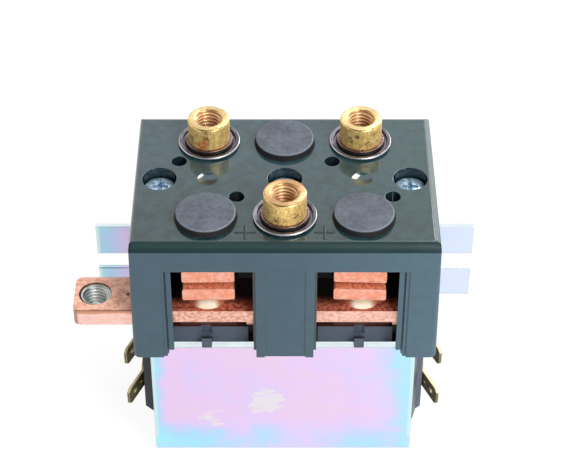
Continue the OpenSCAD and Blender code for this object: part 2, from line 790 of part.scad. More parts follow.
// Bent copper section that joins a rear terminal's upper and lower contacts
module rear_contact_section() {
  in_x = contact_x - bar_w / 2;
  web_x = contact_x + bar_w / 2 + web_gap;
  in_r = 1.5;
  out_r = copper_t - 0.5;
  far_x = web_x + copper_t;
  difference() {
    union() {
      translate([in_x, rail_z]) square([far_x - out_r - in_x, link_top - rail_z]);
      translate([in_x, rail_z + out_r]) square([far_x - in_x, link_top - rail_z - 2 * out_r]);
      for (z = [rail_z + out_r, link_top - out_r]) translate([far_x - out_r, z]) circle(r = out_r);
    }
    translate([in_x - over, rail_top]) square([web_x - in_r - in_x + over, link_z - rail_top]);
    translate([in_x - over, rail_top + in_r]) square([web_x - in_x + over, link_z - rail_top - 2 * in_r]);
    for (z = [rail_top + in_r, link_z - in_r]) translate([web_x - in_r, z]) circle(r = in_r);
  }
}

// Rear fixed contact, open towards the centre
module rear_contact() {
  color([0.86, 0.52, 0.42]) difference() {
    translate([0, link_y, 0]) rotate([90, 0, 0]) linear_extrude(height = link_w, center = true)
      rear_contact_section();
    translate([contact_x, terminal_y, link_z - over])
      cylinder(d = spigot_dia + 2 * slip, h = copper_t + 2 * over);
  }
}

// Domed tip standing on z = 0
module domed_tip() {
  r = fixed_tip_dia / 2;
  ball_r = (r * r + fixed_tip_h * fixed_tip_h) / (2 * fixed_tip_h);
  intersection() {
    translate([0, 0, fixed_tip_h - ball_r]) sphere(r = ball_r);
    cylinder(r = r + over, h = fixed_tip_h + over);
  }
}

// Upper and lower domed tips at one end of both contactors
module fixed_tips(y) {
  color([0.85, 0.80, 0.74]) for (s = [-1, 1]) translate([s * contact_x, y, 0]) {
    translate([0, 0, rail_top]) domed_tip();
    translate([0, 0, link_z]) mirror([0, 0, 1]) domed_tip();
  }
}

// Brass bush, its spigot set through the housing into the copper below
module bush(x, y) {
  rim = 0.5;
  mouth = (mouth_dia - bore_dia) / 2;
  color([0.78, 0.64, 0.30]) translate([x, y, 0]) rotate_extrude() polygon([
    [bore_dia / 2, link_z], [spigot_dia / 2, link_z], [spigot_dia / 2, bush_z],
    [bush_dia / 2, bush_z], [bush_dia / 2, bush_top - rim], [bush_dia / 2 - rim, bush_top],
    [mouth_dia / 2, bush_top], [bore_dia / 2, bush_top - mouth]
  ]);
}

// Pressed washer under a bush: a flat middle, a groove round it and a brim raised off the housing
module washer(x, y) {
  r = washer_dia / 2;
  bevel = 0.2;
  brim_z = 0.5 * washer_t;
  brim_top = 1.2 * washer_t;
  groove_z = 0.3 * washer_t;
  middle_r = ring_dia / 2 + bevel;
  color([0.42, 0.38, 0.42]) translate([x, y, housing_top]) rotate_extrude() polygon([
    [spigot_dia / 2 + slip, 0], [r - brim_w, 0], [r - bevel, brim_z], [r, brim_z + bevel],
    [r, brim_top - bevel], [r - bevel, brim_top], [r - brim_w, brim_top - bevel / 2],
    [r - brim_w - bevel, groove_z], [middle_r + bevel, groove_z], [middle_r, washer_t],
    [spigot_dia / 2 + slip, washer_t]
  ]);
}

// Narrow ring between a washer and its bush
module ring(x, y) {
  color([0.30, 0.26, 0.28]) translate([x, y, housing_top + washer_t]) difference() {
    cylinder(d = ring_dia, h = ring_t);
    translate([0, 0, -over]) cylinder(d = spigot_dia + 2 * slip, h = ring_t + 2 * over);
  }
}

// Rubber cap with a stem that plugs its hole
module cap(x, y) {
  r = cap_dia / 2;
  side_lean = 0.35;
  top_r = r - side_lean;
  round_r = 0.8;
  color([0.35, 0.35, 0.38]) translate([x, y, housing_top]) rotate_extrude() {
    polygon([
      [0, -top_t + seat], [spigot_dia / 2, -top_t + seat], [spigot_dia / 2, 0], [r, 0],
      [top_r, cap_h - round_r], [top_r - round_r, cap_h], [0, cap_h]
    ]);
    translate([top_r - round_r, cap_h - round_r]) circle(r = round_r);
  }
}

// Pan head screw that clamps the housing down to the pole plate, with a cross recess
module screw(x) {
  r = head_dia / 2;
  ball_r = (r * r + crown_h * crown_h) / (2 * crown_h);
  arm_w = cross_l / 4;
  cross_depth = 0.6 * head_h;
  color([0.75, 0.78, 0.85]) translate([x, 0, 0]) {
    translate([0, 0, pole_z + seat]) cylinder(d = screw_dia, h = head_z - pole_z - seat + eps);
    translate([0, 0, head_z]) difference() {
      intersection() {
        cylinder(r = r, h = head_h + over);
        translate([0, 0, head_h - ball_r]) sphere(r = ball_r);
      }
      for (a = [0, 90]) rotate([0, 0, a]) block([-cross_l / 2, -arm_w / 2, head_h - cross_depth],
        [cross_l / 2, arm_w / 2, head_h + over]);
    }
  }
}

// Steel plunger with a pocket for the return spring and a socket for the spindle
module plunger(side) {
  color([0.60, 0.60, 0.64]) translate([side * contact_x, 0, 0]) difference() {
    translate([0, 0, plunger_z]) cylinder(d = plunger_dia, h = plunger_top - plunger_z);
    translate([0, 0, plunger_z - over]) cylinder(d = pocket_dia, h = plunger_pocket + over);
    translate([0, 0, spindle_z]) cylinder(d = spindle_dia + 2 * slip, h = plunger_top);
  }
}

// Spindle from the plunger up to the guide in the top plate
module spindle(side) {
  color([0.72, 0.72, 0.75]) translate([side * contact_x, 0, spindle_z])
    cylinder(d = spindle_dia, h = spindle_top - spindle_z);
}

// Insulating carrier: a sleeve on the plunger, a collar under the bars, a core through them
module carrier(side) {
  color([0.88, 0.86, 0.80]) translate([side * contact_x, 0, 0]) rotate_extrude() polygon([
    [spindle_dia / 2 + slip, plunger_top], [sleeve_r, plunger_top],
    [sleeve_r, low_bar_z - collar_t], [collar_r, low_bar_z - collar_t],
    [collar_r, low_bar_z], [carrier_r, low_bar_z], [carrier_r, up_bar_top],
    [spindle_dia / 2 + slip, up_bar_top]
  ]);
}

// Children turned on a spindle with its bars
module on_spindle(side) {
  translate([side * contact_x, 0, 0]) rotate([0, 0, side < 0 ? left_turn : right_turn]) children();
}

// Moving bar with bowed ends
module moving_bar(side, z) {
  half = housing_d / 2 - bar_end_gap;
  bow_r = (bar_w * bar_w / 4 + bar_bow * bar_bow) / (2 * bar_bow);
  color([0.90, 0.56, 0.46]) on_spindle(side) difference() {
    intersection() {
      translate([0, 0, z + bar_t / 2]) rotate([90, 0, 0])
        linear_extrude(height = 2 * half, center = true) round_rect(bar_w, bar_t, bar_edge_r);
      for (s = [-1, 1]) translate([0, s * (half - bow_r), z - over])
        cylinder(r = bow_r, h = bar_t + 2 * over, $fn = 128);
    }
    translate([0, 0, z - over]) cylinder(r = carrier_r + slip, h = bar_t + 2 * over);
  }
}

// Four flat tips of one contactor, under the lower bar and on the upper bar
module moving_tips(side) {
  color([0.85, 0.80, 0.74]) on_spindle(side)
    for (y = [-tip_y, tip_y], z = [low_bar_z - moving_tip_h, up_bar_top])
      translate([0, y, z]) cylinder(d = moving_tip_dia, h = moving_tip_h);
}

// Two disc springs that press the bars apart
module disc_springs(side) {
  in_r = carrier_r + loose;
  out_r = 1.4 * carrier_r;
  leaf = bar_gap / 4;
  lip = 0.6;
  half = bar_gap / 2;
  color([0.62, 0.62, 0.64]) for (s = [0, 1])
    translate([side * contact_x, 0, low_bar_top + half]) mirror([0, 0, s]) rotate_extrude() polygon([
      [in_r, half - leaf], [in_r, half], [in_r + lip, half], [out_r, leaf], [out_r, 0], [out_r - lip, 0]
    ]);
}

// Nut and washer that hold the bars on the spindle
module nut(side) {
  color([0.74, 0.74, 0.76]) translate([side * contact_x, 0, up_bar_top]) difference() {
    union() {
      cylinder(r = nut_washer_r, h = nut_washer_t);
      translate([0, 0, nut_washer_t - eps]) cylinder(r = nut_flat / sqrt(3), h = nut_t + eps, $fn = 6);
    }
    translate([0, 0, -over]) cylinder(d = spindle_dia + 2 * slip, h = nut_t + nut_washer_t + 2 * over);
  }
}

// Height along the return spring after so many turns: close end turns, even turns between
spring_end_pitch = 1.12 * spring_wire;
spring_pitch = (spring_l - spring_wire - 2 * spring_end_pitch) / (spring_turns - 2);
function spring_rise(turn) =
  turn < 1 ? turn * spring_end_pitch :
  turn > spring_turns - 1 ? spring_l - spring_wire - (spring_turns - turn) * spring_end_pitch :
  spring_end_pitch + (turn - 1) * spring_pitch;

// Return spring: a round wire swept along a helix
module return_spring(side) {
  sides = 8;
  steps = 18;
  rings = spring_turns * steps;
  wire_r = spring_wire / 2;
  coil_r = pocket_dia / 2 - loose - wire_r;
  points = [for (i = [0:rings], j = [0:sides - 1])
    let (turn = 360 * i / steps, around = 360 * j / sides)
    let (r = coil_r + wire_r * cos(around))
    [r * cos(turn), r * sin(turn), wire_r + spring_rise(i / steps) + wire_r * sin(around)]];
  tube = [for (i = [0:rings - 1], j = [0:sides - 1])
    let (k = (j + 1) % sides)
    [i * sides + j, (i + 1) * sides + j, (i + 1) * sides + k, i * sides + k]];
  start_cap = [[for (j = [0:sides - 1]) j]];
  end_cap = [[for (j = [sides - 1:-1:0]) rings * sides + j]];
  color([0.66, 0.66, 0.68]) translate([side * contact_x, 0, spring_z])
    polyhedron(points = points, faces = concat(tube, start_cap, end_cap));
}

module left_bobbin() { bobbin(-1); }
module right_bobbin() { bobbin(1); }
module left_winding() { winding(-1); }
module right_winding() { winding(1); }
module left_terminal_cover() { mirror([1, 0, 0]) terminal_cover(left_cover_t); }
module right_terminal_cover() { terminal_cover(right_cover_t); }
module left_upper_tab() { mirror([1, 0, 0]) coil_tab(left_cover_t, up_tab_z); }
module left_lower_tab() { mirror([1, 0, 0]) coil_tab(left_cover_t, low_tab_z); }
module right_upper_tab() { coil_tab(right_cover_t, up_tab_z); }
module right_lower_tab() { coil_tab(right_cover_t, low_tab_z); }
module left_core() { core(-1); }
module right_core() { core(1); }
module front_fixed_tips() { fixed_tips(-tip_y); }
module rear_fixed_tips() { fixed_tips(tip_y); }
module left_rear_contact() { mirror([1, 0, 0]) rear_contact(); }
module right_rear_contact() { rear_contact(); }
module front_bush() { bush(0, -terminal_y); }
module left_rear_bush() { bush(-contact_x, terminal_y); }
module right_rear_bush() { bush(contact_x, terminal_y); }
module front_washer() { washer(0, -terminal_y); }
module left_rear_washer() { washer(-contact_x, terminal_y); }
module right_rear_washer() { washer(contact_x, terminal_y); }
module front_ring() { ring(0, -terminal_y); }
module left_rear_ring() { ring(-contact_x, terminal_y); }
module right_rear_ring() { ring(contact_x, terminal_y); }
module left_front_cap() { cap(-contact_x, -terminal_y); }
module right_front_cap() { cap(contact_x, -terminal_y); }
module rear_cap() { cap(0, terminal_y); }
module left_screw() { screw(-screw_x); }
module centre_screw() { screw(0); }
module right_screw() { screw(screw_x); }
module left_plunger() { plunger(-1); }
module right_plunger() { plunger(1); }
module left_spindle() { spindle(-1); }
module right_spindle() { spindle(1); }
module left_carrier() { carrier(-1); }
module right_carrier() { carrier(1); }
module left_lower_bar() { moving_bar(-1, low_bar_z); }
module right_lower_bar() { moving_bar(1, low_bar_z); }
module left_upper_bar() { moving_bar(-1, up_bar_z); }
module right_upper_bar() { moving_bar(1, up_bar_z); }
module left_moving_tips() { moving_tips(-1); }
module right_moving_tips() { moving_tips(1); }
module left_disc_springs() { disc_springs(-1); }
module right_disc_springs() { disc_springs(1); }
module left_nut() { nut(-1); }
module right_nut() { nut(1); }
module left_return_spring() { return_spring(-1); }
module right_return_spring() { return_spring(1); }

yoke();
pole_plate();
mounting_bracket();
bracket_rivets();
housing();
insulating_deck();
left_bobbin();
right_bobbin();
left_winding();
right_winding();
left_terminal_cover();
right_terminal_cover();
left_upper_tab();
left_lower_tab();
right_upper_tab();
right_lower_tab();
left_core();
right_core();
common_rail();
threaded_insert();
upper_link();
front_fixed_tips();
left_rear_contact();
right_rear_contact();
rear_fixed_tips();
front_bush();
left_rear_bush();
right_rear_bush();
front_washer();
left_rear_washer();
right_rear_washer();
front_ring();
left_rear_ring();
right_rear_ring();
left_front_cap();
right_front_cap();
rear_cap();
left_screw();
centre_screw();
right_screw();
left_plunger();
right_plunger();
left_spindle();
right_spindle();
left_carrier();
right_carrier();
left_lower_bar();
right_lower_bar();
left_upper_bar();
right_upper_bar();
left_moving_tips();
right_moving_tips();
left_disc_springs();
right_disc_springs();
left_nut();
right_nut();
left_return_spring();
right_return_spring();
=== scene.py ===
"""Looks of a double pole changeover contactor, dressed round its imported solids.

Lengths are in metres, in the part's own frame: the origin is on the yoke's bottom face,
midway between the coils, X runs to the right, Y to the rear and Z up. Each new piece is
a surface worked out with numpy, and every finish reads Object coordinates.
"""
import math

import bmesh
import bpy
import numpy as np
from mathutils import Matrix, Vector


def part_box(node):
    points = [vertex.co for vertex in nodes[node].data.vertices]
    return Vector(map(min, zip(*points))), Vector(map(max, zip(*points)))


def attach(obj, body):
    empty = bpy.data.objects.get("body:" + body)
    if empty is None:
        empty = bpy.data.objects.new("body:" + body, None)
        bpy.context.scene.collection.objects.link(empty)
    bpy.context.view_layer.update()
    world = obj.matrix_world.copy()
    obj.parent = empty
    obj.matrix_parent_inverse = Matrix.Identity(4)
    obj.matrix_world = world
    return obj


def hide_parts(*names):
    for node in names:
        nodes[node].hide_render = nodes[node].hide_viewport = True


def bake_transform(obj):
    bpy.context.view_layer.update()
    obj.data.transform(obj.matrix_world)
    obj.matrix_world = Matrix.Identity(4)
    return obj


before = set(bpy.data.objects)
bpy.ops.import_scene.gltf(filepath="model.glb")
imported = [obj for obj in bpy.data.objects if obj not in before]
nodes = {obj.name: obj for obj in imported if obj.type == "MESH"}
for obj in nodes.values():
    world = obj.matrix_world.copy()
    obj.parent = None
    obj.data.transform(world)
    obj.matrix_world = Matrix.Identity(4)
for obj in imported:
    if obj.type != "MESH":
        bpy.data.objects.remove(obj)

MM = 0.001
TURN = 2 * math.pi
SIDES = ("left", "right")
TERMINALS = ("front", "left_rear", "right_rear")
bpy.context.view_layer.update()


def axis_and_span(node):
    """Middle of a node in plan, its lowest and highest height, and its half width."""
    low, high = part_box(node)
    return (low.x + high.x) / 2, (low.y + high.y) / 2, low.z, high.z, (high.x - low.x) / 2


# Places that the finishes follow
yoke_low, yoke_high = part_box("yoke")
rail_low, rail_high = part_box("common_rail")
insert_x, insert_y = axis_and_span("threaded_insert")[:2]
terminal_axes = [axis_and_span(place + "_ring")[:2] for place in TERMINALS]
housing_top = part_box("front_washer")[0].z
housing_front = -30.5 * MM
housing_right = 45 * MM
washer_r = axis_and_span("front_washer")[4]
ring_r = axis_and_span("front_ring")[4]
tip_places = [axis_and_span(side + "_moving_tips")[0] for side in SIDES]

# The deck carries the rail on pads of this height, its hooks stand this far to the left
# of the tips, and its face lies behind the yoke's sheet
RAIL_PAD_H = 4.1 * MM
DECK_SHIFT = 0.6 * MM
YOKE_SHEET = 2.5 * MM
deck_top = rail_low.z - RAIL_PAD_H
deck_face = yoke_low.y + YOKE_SHEET
hook_places = [x - DECK_SHIFT for x in tip_places]

# Each pole stands about this far from the middle
POLE_X = 23 * MM

# How far the shading of the housing's top front and top right edges reaches
BROW = 2.7 * MM
BROW_DROP = 2.55 * MM
SHOULDER = 1.8 * MM

# Where the shaded strips beside the centre pillar lie, from side to side and front to rear
LIP_X = (8.7 * MM, 9.5 * MM)
LIP_Y = (-29.8 * MM, -27 * MM)

# Sizes of the threads, as on M8
THREAD_PITCH = 1.25 * MM
THREAD_DEPTH = 0.6 * MM
BORE_R = 3.4 * MM
MOUTH_R = 4.2 * MM
AROUND = 96
ROWS_PER_PITCH = 10


# Surfaces

def closed_surface(name, points, wrap_rows, material):
    """A mesh from a grid of points[column, row]. Columns always close into a ring.
    Rows close too when wrap_rows is set; otherwise the first and last rows are poles
    that each gather at one point. Faces are turned so that the enclosed volume, a sixth
    of the summed triple products of the corners, is positive."""
    columns, rows = points.shape[:2]
    index = np.arange(columns * rows).reshape(columns, rows)
    right = np.roll(index, -1, axis=0)
    if wrap_rows:
        up, right_up = np.roll(index, -1, axis=1), np.roll(right, -1, axis=1)
        corners = [index, right, right_up, up]
    else:
        corners = [index[:, :-1], right[:, :-1], right[:, 1:], index[:, 1:]]
    quads = np.stack(corners, axis=-1).reshape(-1, 4)
    flat = points.reshape(-1, 3)
    a, b, c, d = (flat[quads[:, k]] for k in range(4))
    volume = np.sum(a * np.cross(b, c)) + np.sum(a * np.cross(c, d))
    if volume < 0:
        quads = quads[:, ::-1]
    mesh = bpy.data.meshes.new(name)
    mesh.from_pydata(flat.tolist(), [], quads.tolist())
    if not wrap_rows:
        merge_poles(mesh)
    mesh.shade_smooth()
    mesh.materials.append(material)
    piece = bpy.data.objects.new(name, mesh)
    bpy.context.scene.collection.objects.link(piece)
    return piece


def merge_poles(mesh):
    """Joins the points that gather at each pole."""
    work = bmesh.new()
    work.from_mesh(mesh)
    bmesh.ops.remove_doubles(work, verts=work.verts, dist=1e-7)
    work.to_mesh(mesh)
    work.free()


def revolve(name, centre, radius, height, material):
    """Carries a closed profile round a vertical axis. Radius and height are arrays
    over [angle, profile]: x = cx + r cos a, y = cy + r sin a, z = h."""
    angle = np.arange(radius.shape[0]) * TURN / radius.shape[0]
    x = centre[0] + radius * np.cos(angle)[:, None]
    y = centre[1] + radius * np.sin(angle)[:, None]
    return closed_surface(name, np.stack([x, y, height], axis=-1), True, material)


def thread_radius(angle, height):
    """Wall of an internal thread: the core radius plus a triangular tooth with a flat
    crest and root, whose phase is the height in pitches less the angle in turns."""
    phase = (height / THREAD_PITCH - angle / TURN) % 1.0
    tooth = np.clip(1.5 * (1 - np.abs(2 * phase - 1)) - 0.25, 0, 1)
    return BORE_R + THREAD_DEPTH * tooth


def arc(radius, start, end, count):
    """Points of a circular arc about the origin, angles in degrees."""
    a = np.radians(np.linspace(start, end, count))
    return np.stack([radius * np.cos(a), radius * np.sin(a)], axis=-1)


def threaded_turning(name, centre, outline, low, high, material):
    """A turned piece with a threaded bore. The bore's rows climb from low to high; its
    radius is the larger of the thread and of the mouth's cone, which opens by as much
    as it is deep. The outside follows the outline from the mouth's edge to the bottom."""
    angle = np.arange(AROUND)[:, None] * TURN / AROUND
    rows = int((high - low) / THREAD_PITCH * ROWS_PER_PITCH)
    climb = np.linspace(low, high, rows)[None, :]
    wall = np.maximum(thread_radius(angle, climb), MOUTH_R - (high - climb))
    outside = np.broadcast_to(outline, (AROUND, *outline.shape))
    radius = np.concatenate([wall, outside[:, :, 0]], axis=1)
    height = np.concatenate([np.broadcast_to(climb, wall.shape), outside[:, :, 1]], axis=1)
    return revolve(name, centre, radius, height, material)


# Finishes

def srgb(red, green, blue):
    """A display colour as linear light."""
    part = np.array([red, green, blue]) / 255
    return tuple(np.where(part <= 0.04045, part / 12.92, ((part + 0.055) / 1.055) ** 2.4).tolist())


def paler(colour, share):
    """The colour moved that share of the way to white."""
    return tuple(part + share * (1 - part) for part in colour)


class Finish:
    """One Principled material, with short calls that add the nodes that feed it."""

    def __init__(self, name, colour, roughness, metallic=0.0, ior=1.5):
        self.material = bpy.data.materials.new(name)
        self.material.use_nodes = True
        self.tree = self.material.node_tree
        self.shader = self.tree.nodes["Principled BSDF"]
        self.set("Base Color", colour)
        self.set("Roughness", roughness)
        self.set("Metallic", metallic)
        self.set("IOR", ior)
        self.place = self.node("ShaderNodeTexCoord").outputs["Object"]
        self.x, self.y, self.z = self.node("ShaderNodeSeparateXYZ", {0: self.place}).outputs
        self.facing = self.node("ShaderNodeNewGeometry").outputs["Normal"]
        self.nx, self.ny, self.nz = self.node("ShaderNodeSeparateXYZ", {0: self.facing}).outputs

    def node(self, kind, sockets=None, **settings):
        made = self.tree.nodes.new(kind)
        for key, value in settings.items():
            setattr(made, key, value)
        for key, value in (sockets or {}).items():
            self.feed(made.inputs[key], value)
        return made

    def feed(self, socket, value):
        if isinstance(value, bpy.types.NodeSocket):
            self.tree.links.new(value, socket)
        elif isinstance(value, tuple) and len(value) == 3 and socket.type == "RGBA":
            socket.default_value = (*value, 1)
        else:
            socket.default_value = value

    def set(self, socket, value):
        """Feeds one of the shader's own sockets."""
        self.feed(self.shader.inputs[socket], value)

    def math(self, operation, a, b=0.0):
        return self.node("ShaderNodeMath", {0: a, 1: b}, operation=operation).outputs[0]

    def absolute(self, value):
        return self.math("ABSOLUTE", value)

    def plus(self, a, b):
        return self.math("ADD", a, b)

    def minus(self, a, b):
        return self.math("SUBTRACT", a, b)

    def times(self, a, b):
        return self.math("MULTIPLY", a, b)

    def vector(self, operation, a, b, output="Vector"):
        return self.node("ShaderNodeVectorMath", {0: a, 1: b}, operation=operation).outputs[output]

    def step(self, value, low, high):
        """0 at low and 1 at high, with a smooth change between and level beyond."""
        return self.node("ShaderNodeMapRange", {0: value, 1: low, 2: high, 3: 0.0, 4: 1.0},
                         interpolation_type="SMOOTHSTEP").outputs[0]

    def between(self, value, low, high, soft):
        """1 from low to high, fading over the soft width beyond them."""
        return self.every(self.step(value, low - soft, low), self.step(value, high + soft, high))

    def every(self, *masks):
        """Masks multiplied together."""
        result = masks[0]
        for mask in masks[1:]:
            result = self.times(result, mask)
        return result

    def either(self, first, second):
        """The larger of two values."""
        return self.math("MAXIMUM", first, second)

    def without(self, mask):
        return self.minus(1.0, mask)

    def ranged(self, value, low, high, first, second):
        """first at low and second at high, straight between and level beyond."""
        sockets = {0: value, 1: low, 2: high, 3: first, 4: second}
        return self.node("ShaderNodeMapRange", sockets).outputs[0]

    def level(self, share, first, second):
        """A number that goes from first to second with the share."""
        return self.ranged(share, 0.0, 1.0, first, second)

    def rise(self, value, low, high, most):
        """0 at low and most at high."""
        return self.ranged(value, low, high, 0.0, most)

    def noise(self, size, detail=3.0, rough=0.55, stretch=(1, 1, 1), warp=0.0):
        """Noise with features of that size, longer along the stretched axes."""
        scale = tuple(1 / (size * s) for s in stretch)
        moved = self.node("ShaderNodeMapping", {0: self.place, 3: scale}).outputs[0]
        return self.node("ShaderNodeTexNoise", {0: moved, "Scale": 1.0, "Detail": detail,
                                                "Roughness": rough, "Distortion": warp}).outputs[0]

    def specks(self, spacing, size, share=1.0):
        """Small spots: near to the seed points of a cell pattern, in a share of the cells."""
        cells = self.node("ShaderNodeTexVoronoi", {0: self.place, "Scale": 1 / spacing})
        near = self.step(cells.outputs["Distance"], size / spacing, 0.5 * size / spacing)
        chosen = self.node("ShaderNodeSeparateColor", {0: cells.outputs["Color"]}).outputs[0]
        return self.every(near, self.math("LESS_THAN", chosen, share))

    def mix(self, share, first, second):
        """A colour that goes from first to second with the share."""
        made = self.node("ShaderNodeMix", data_type="RGBA")
        for socket, value in zip((0, 6, 7), (share, first, second)):
            self.feed(made.inputs[socket], value)
        return made.outputs[2]

    def ramp(self, value, stops):
        """Colours at places along a value."""
        made = self.node("ShaderNodeValToRGB", {0: value})
        marks = made.color_ramp.elements
        while len(marks) < len(stops):
            marks.new(1.0)
        for mark, (place, colour) in zip(marks, stops):
            mark.position = place
            mark.color = (*colour, 1)
        return made.outputs[0]

    def edges(self, radius):
        """1 on edges and corners: how far the normal turns when rounded by that radius."""
        round_normal = self.node("ShaderNodeBevel", {0: radius}, samples=8).outputs[0]
        turn = self.vector("DOT_PRODUCT", round_normal, self.facing, "Value")
        return self.step(turn, 0.985, 0.86), round_normal

    def near(self, x, y, z, radius, soft):
        """1 within that radius of a point, fading over the soft width."""
        away = self.vector("DISTANCE", self.place, (x, y, z), "Value")
        return self.step(away, radius + soft, radius)

    def from_axes(self, axes):
        """Distance in plan from the nearest of several vertical axes."""
        flat = self.vector("MULTIPLY", self.place, (1, 1, 0))
        away = [self.vector("DISTANCE", flat, (x, y, 0), "Value") for x, y in axes]
        nearest = away[0]
        for other in away[1:]:
            nearest = self.math("MINIMUM", nearest, other)
        return nearest

    def turned(self, right, front):
        """Straight up turned by one angle to the right and by another to the front."""
        sideways = self.math("SINE", right)
        forward = self.minus(0.0, self.math("SINE", front))
        upright = self.math("COSINE", self.plus(right, front))
        return self.node("ShaderNodeCombineXYZ", {0: sideways, 1: forward, 2: upright}).outputs[0]

    def bump(self, height, depth, normal=None):
        """Relief of that depth in metres, over a rounded normal where one is given."""
        sockets = {"Height": height, "Distance": depth, "Strength": 1.0}
        if normal is not None:
            sockets["Normal"] = normal
        self.set("Normal", self.node("ShaderNodeBump", sockets).outputs[0])


def housing_finish():
    """Blue-green moulding: polished on top, finely grained on its sides, and duller on its top
    right edge. Its top is paler to the rear and to the right, and its sides paler to the
    right, as painted reflection and painted light; along its top front edge, whose normals
    lean as if broadly rounded, it is dark with painted reflection, and in its holes and on
    the strips beside the centre pillar it is dark with painted shade."""
    f = Finish("housing_moulding", srgb(44, 70, 78), 0.4, ior=1.78)
    edge_wear_and_glint, round_normal = f.edges(0.3 * MM)
    upward = f.step(f.nz, 0.02, 0.2)
    pocket = f.every(f.step(f.absolute(f.x), housing_right - 1 * MM, housing_right - 2 * MM),
                     f.step(f.absolute(f.y), -housing_front - 1.5 * MM, -housing_front - 2 * MM),
                     f.step(f.absolute(f.nz), 0.5, 0.3))
    cloud = f.step(f.noise(3.5 * MM, 6.0, 0.7), 0.3, 0.7)
    # Painted reflection and painted light: paler to the rear on top, and to the right on top and
    # on the sides
    rightward = f.step(f.x, -10 * MM, 44 * MM)
    rearward_shading = f.step(f.y, -31 * MM, 20 * MM)
    side_share = f.plus(f.times(cloud, 0.3), f.times(rightward, 0.7))
    top_share = f.plus(f.times(cloud, 0.6), f.times(rearward_shading, 0.5))
    side_tone = f.mix(side_share, srgb(14, 61, 78), srgb(46, 85, 101))
    top_tone = f.mix(top_share, srgb(14, 40, 40), srgb(52, 79, 86))
    top_tone = f.mix(f.level(rightward, 0.0, 0.25), top_tone, srgb(52, 84, 84))
    tone = f.mix(upward, side_tone, top_tone)
    # Painted shade on the strips beside the centre pillar
    lip = f.every(f.between(f.absolute(f.x), *LIP_X, 0.1 * MM), f.between(f.y, *LIP_Y, 0.2 * MM),
                  f.step(f.ny, -0.5, -0.8))
    tone = f.mix(lip, tone, srgb(38, 48, 58))
    # Edges paler: painted highlight with wear
    tone = f.mix(f.every(edge_wear_and_glint, f.level(f.noise(3 * MM), 0.0, 0.4)), tone, srgb(100, 128, 136))
    # Painted shade in the holes
    tone = f.mix(pocket, tone, srgb(24, 44, 49))
    # Painted dark reflection along the top front edge, its normal leaned as if broadly rounded
    brow = f.every(f.math("LESS_THAN", f.y, housing_front + BROW),
                   f.math("GREATER_THAN", f.z, housing_top - BROW_DROP))
    shoulder = f.every(f.math("GREATER_THAN", f.x, housing_right - SHOULDER),
                       f.math("GREATER_THAN", f.z, housing_top - SHOULDER))
    brow_tone = f.mix(f.step(f.z, housing_top - 0.8 * MM, housing_top - 1.1 * MM),
                      srgb(42, 64, 65), srgb(30, 56, 60))
    tone = f.mix(brow, tone, brow_tone)
    f.set("Base Color", f.mix(f.specks(5 * MM, 0.12 * MM, 0.35), tone, srgb(150, 162, 164)))
    haze = f.plus(f.level(f.noise(9 * MM, 3.0), 0.0, 0.06), f.level(brow, 0.0, 0.1))
    polish = f.either(f.either(upward, brow), pocket)
    dull = f.level(f.every(shoulder, f.without(brow)), 0.0, 0.42)
    f.set("Roughness", f.plus(f.either(f.level(polish, 0.42, 0.07), dull), haze))
    back = f.rise(f.y, housing_front + BROW, housing_front + 0.3 * BROW, math.radians(45))
    down = f.rise(f.z, housing_top, housing_top - BROW_DROP, math.radians(15))
    lean = f.turned(0.0, f.plus(back, down))
    out = f.rise(f.x, housing_right - SHOULDER, housing_right, math.radians(30))
    drop = f.rise(f.z, housing_top, housing_top - SHOULDER, math.radians(36))
    aside = f.turned(f.plus(out, f.every(drop, f.step(f.nx, 0.1, 0.9))), 0.0)
    normal = f.mix(brow, f.mix(shoulder, round_normal, aside), lean)
    f.bump(f.every(f.noise(0.45 * MM, 2.0), f.level(polish, 1.0, 0.06)), 0.035 * MM, normal)
    return f.material


def rubber_finish():
    """Matte grey rubber with a painted highlight on its rim, painted shade on its sides and fine
    pores.
    """
    f = Finish("cap_rubber", srgb(92, 100, 110), 0.72)
    rim = f.between(f.nz, 0.6, 0.93, 0.06)
    mottle = f.plus(f.times(f.step(f.noise(1.4 * MM, 5.0, 0.7), 0.35, 0.65), 0.5),
                    f.times(f.step(f.noise(6 * MM, 2.0), 0.3, 0.7), 0.5))
    tone = f.mix(mottle, srgb(70, 76, 86), srgb(102, 109, 121))
    # Painted highlight on the rim
    tone = f.mix(f.every(rim, f.level(f.noise(2 * MM), 0.2, 0.8)), tone, srgb(128, 136, 148))
    # Painted shade on the sides
    tone = f.mix(f.step(f.nz, 0.55, 0.35), tone, srgb(9, 11, 14))
    f.set("Base Color", f.mix(f.specks(3.5 * MM, 0.12 * MM, 0.4), tone, srgb(150, 154, 160)))
    f.bump(f.noise(0.3 * MM, 3.0), 0.03 * MM)
    return f.material


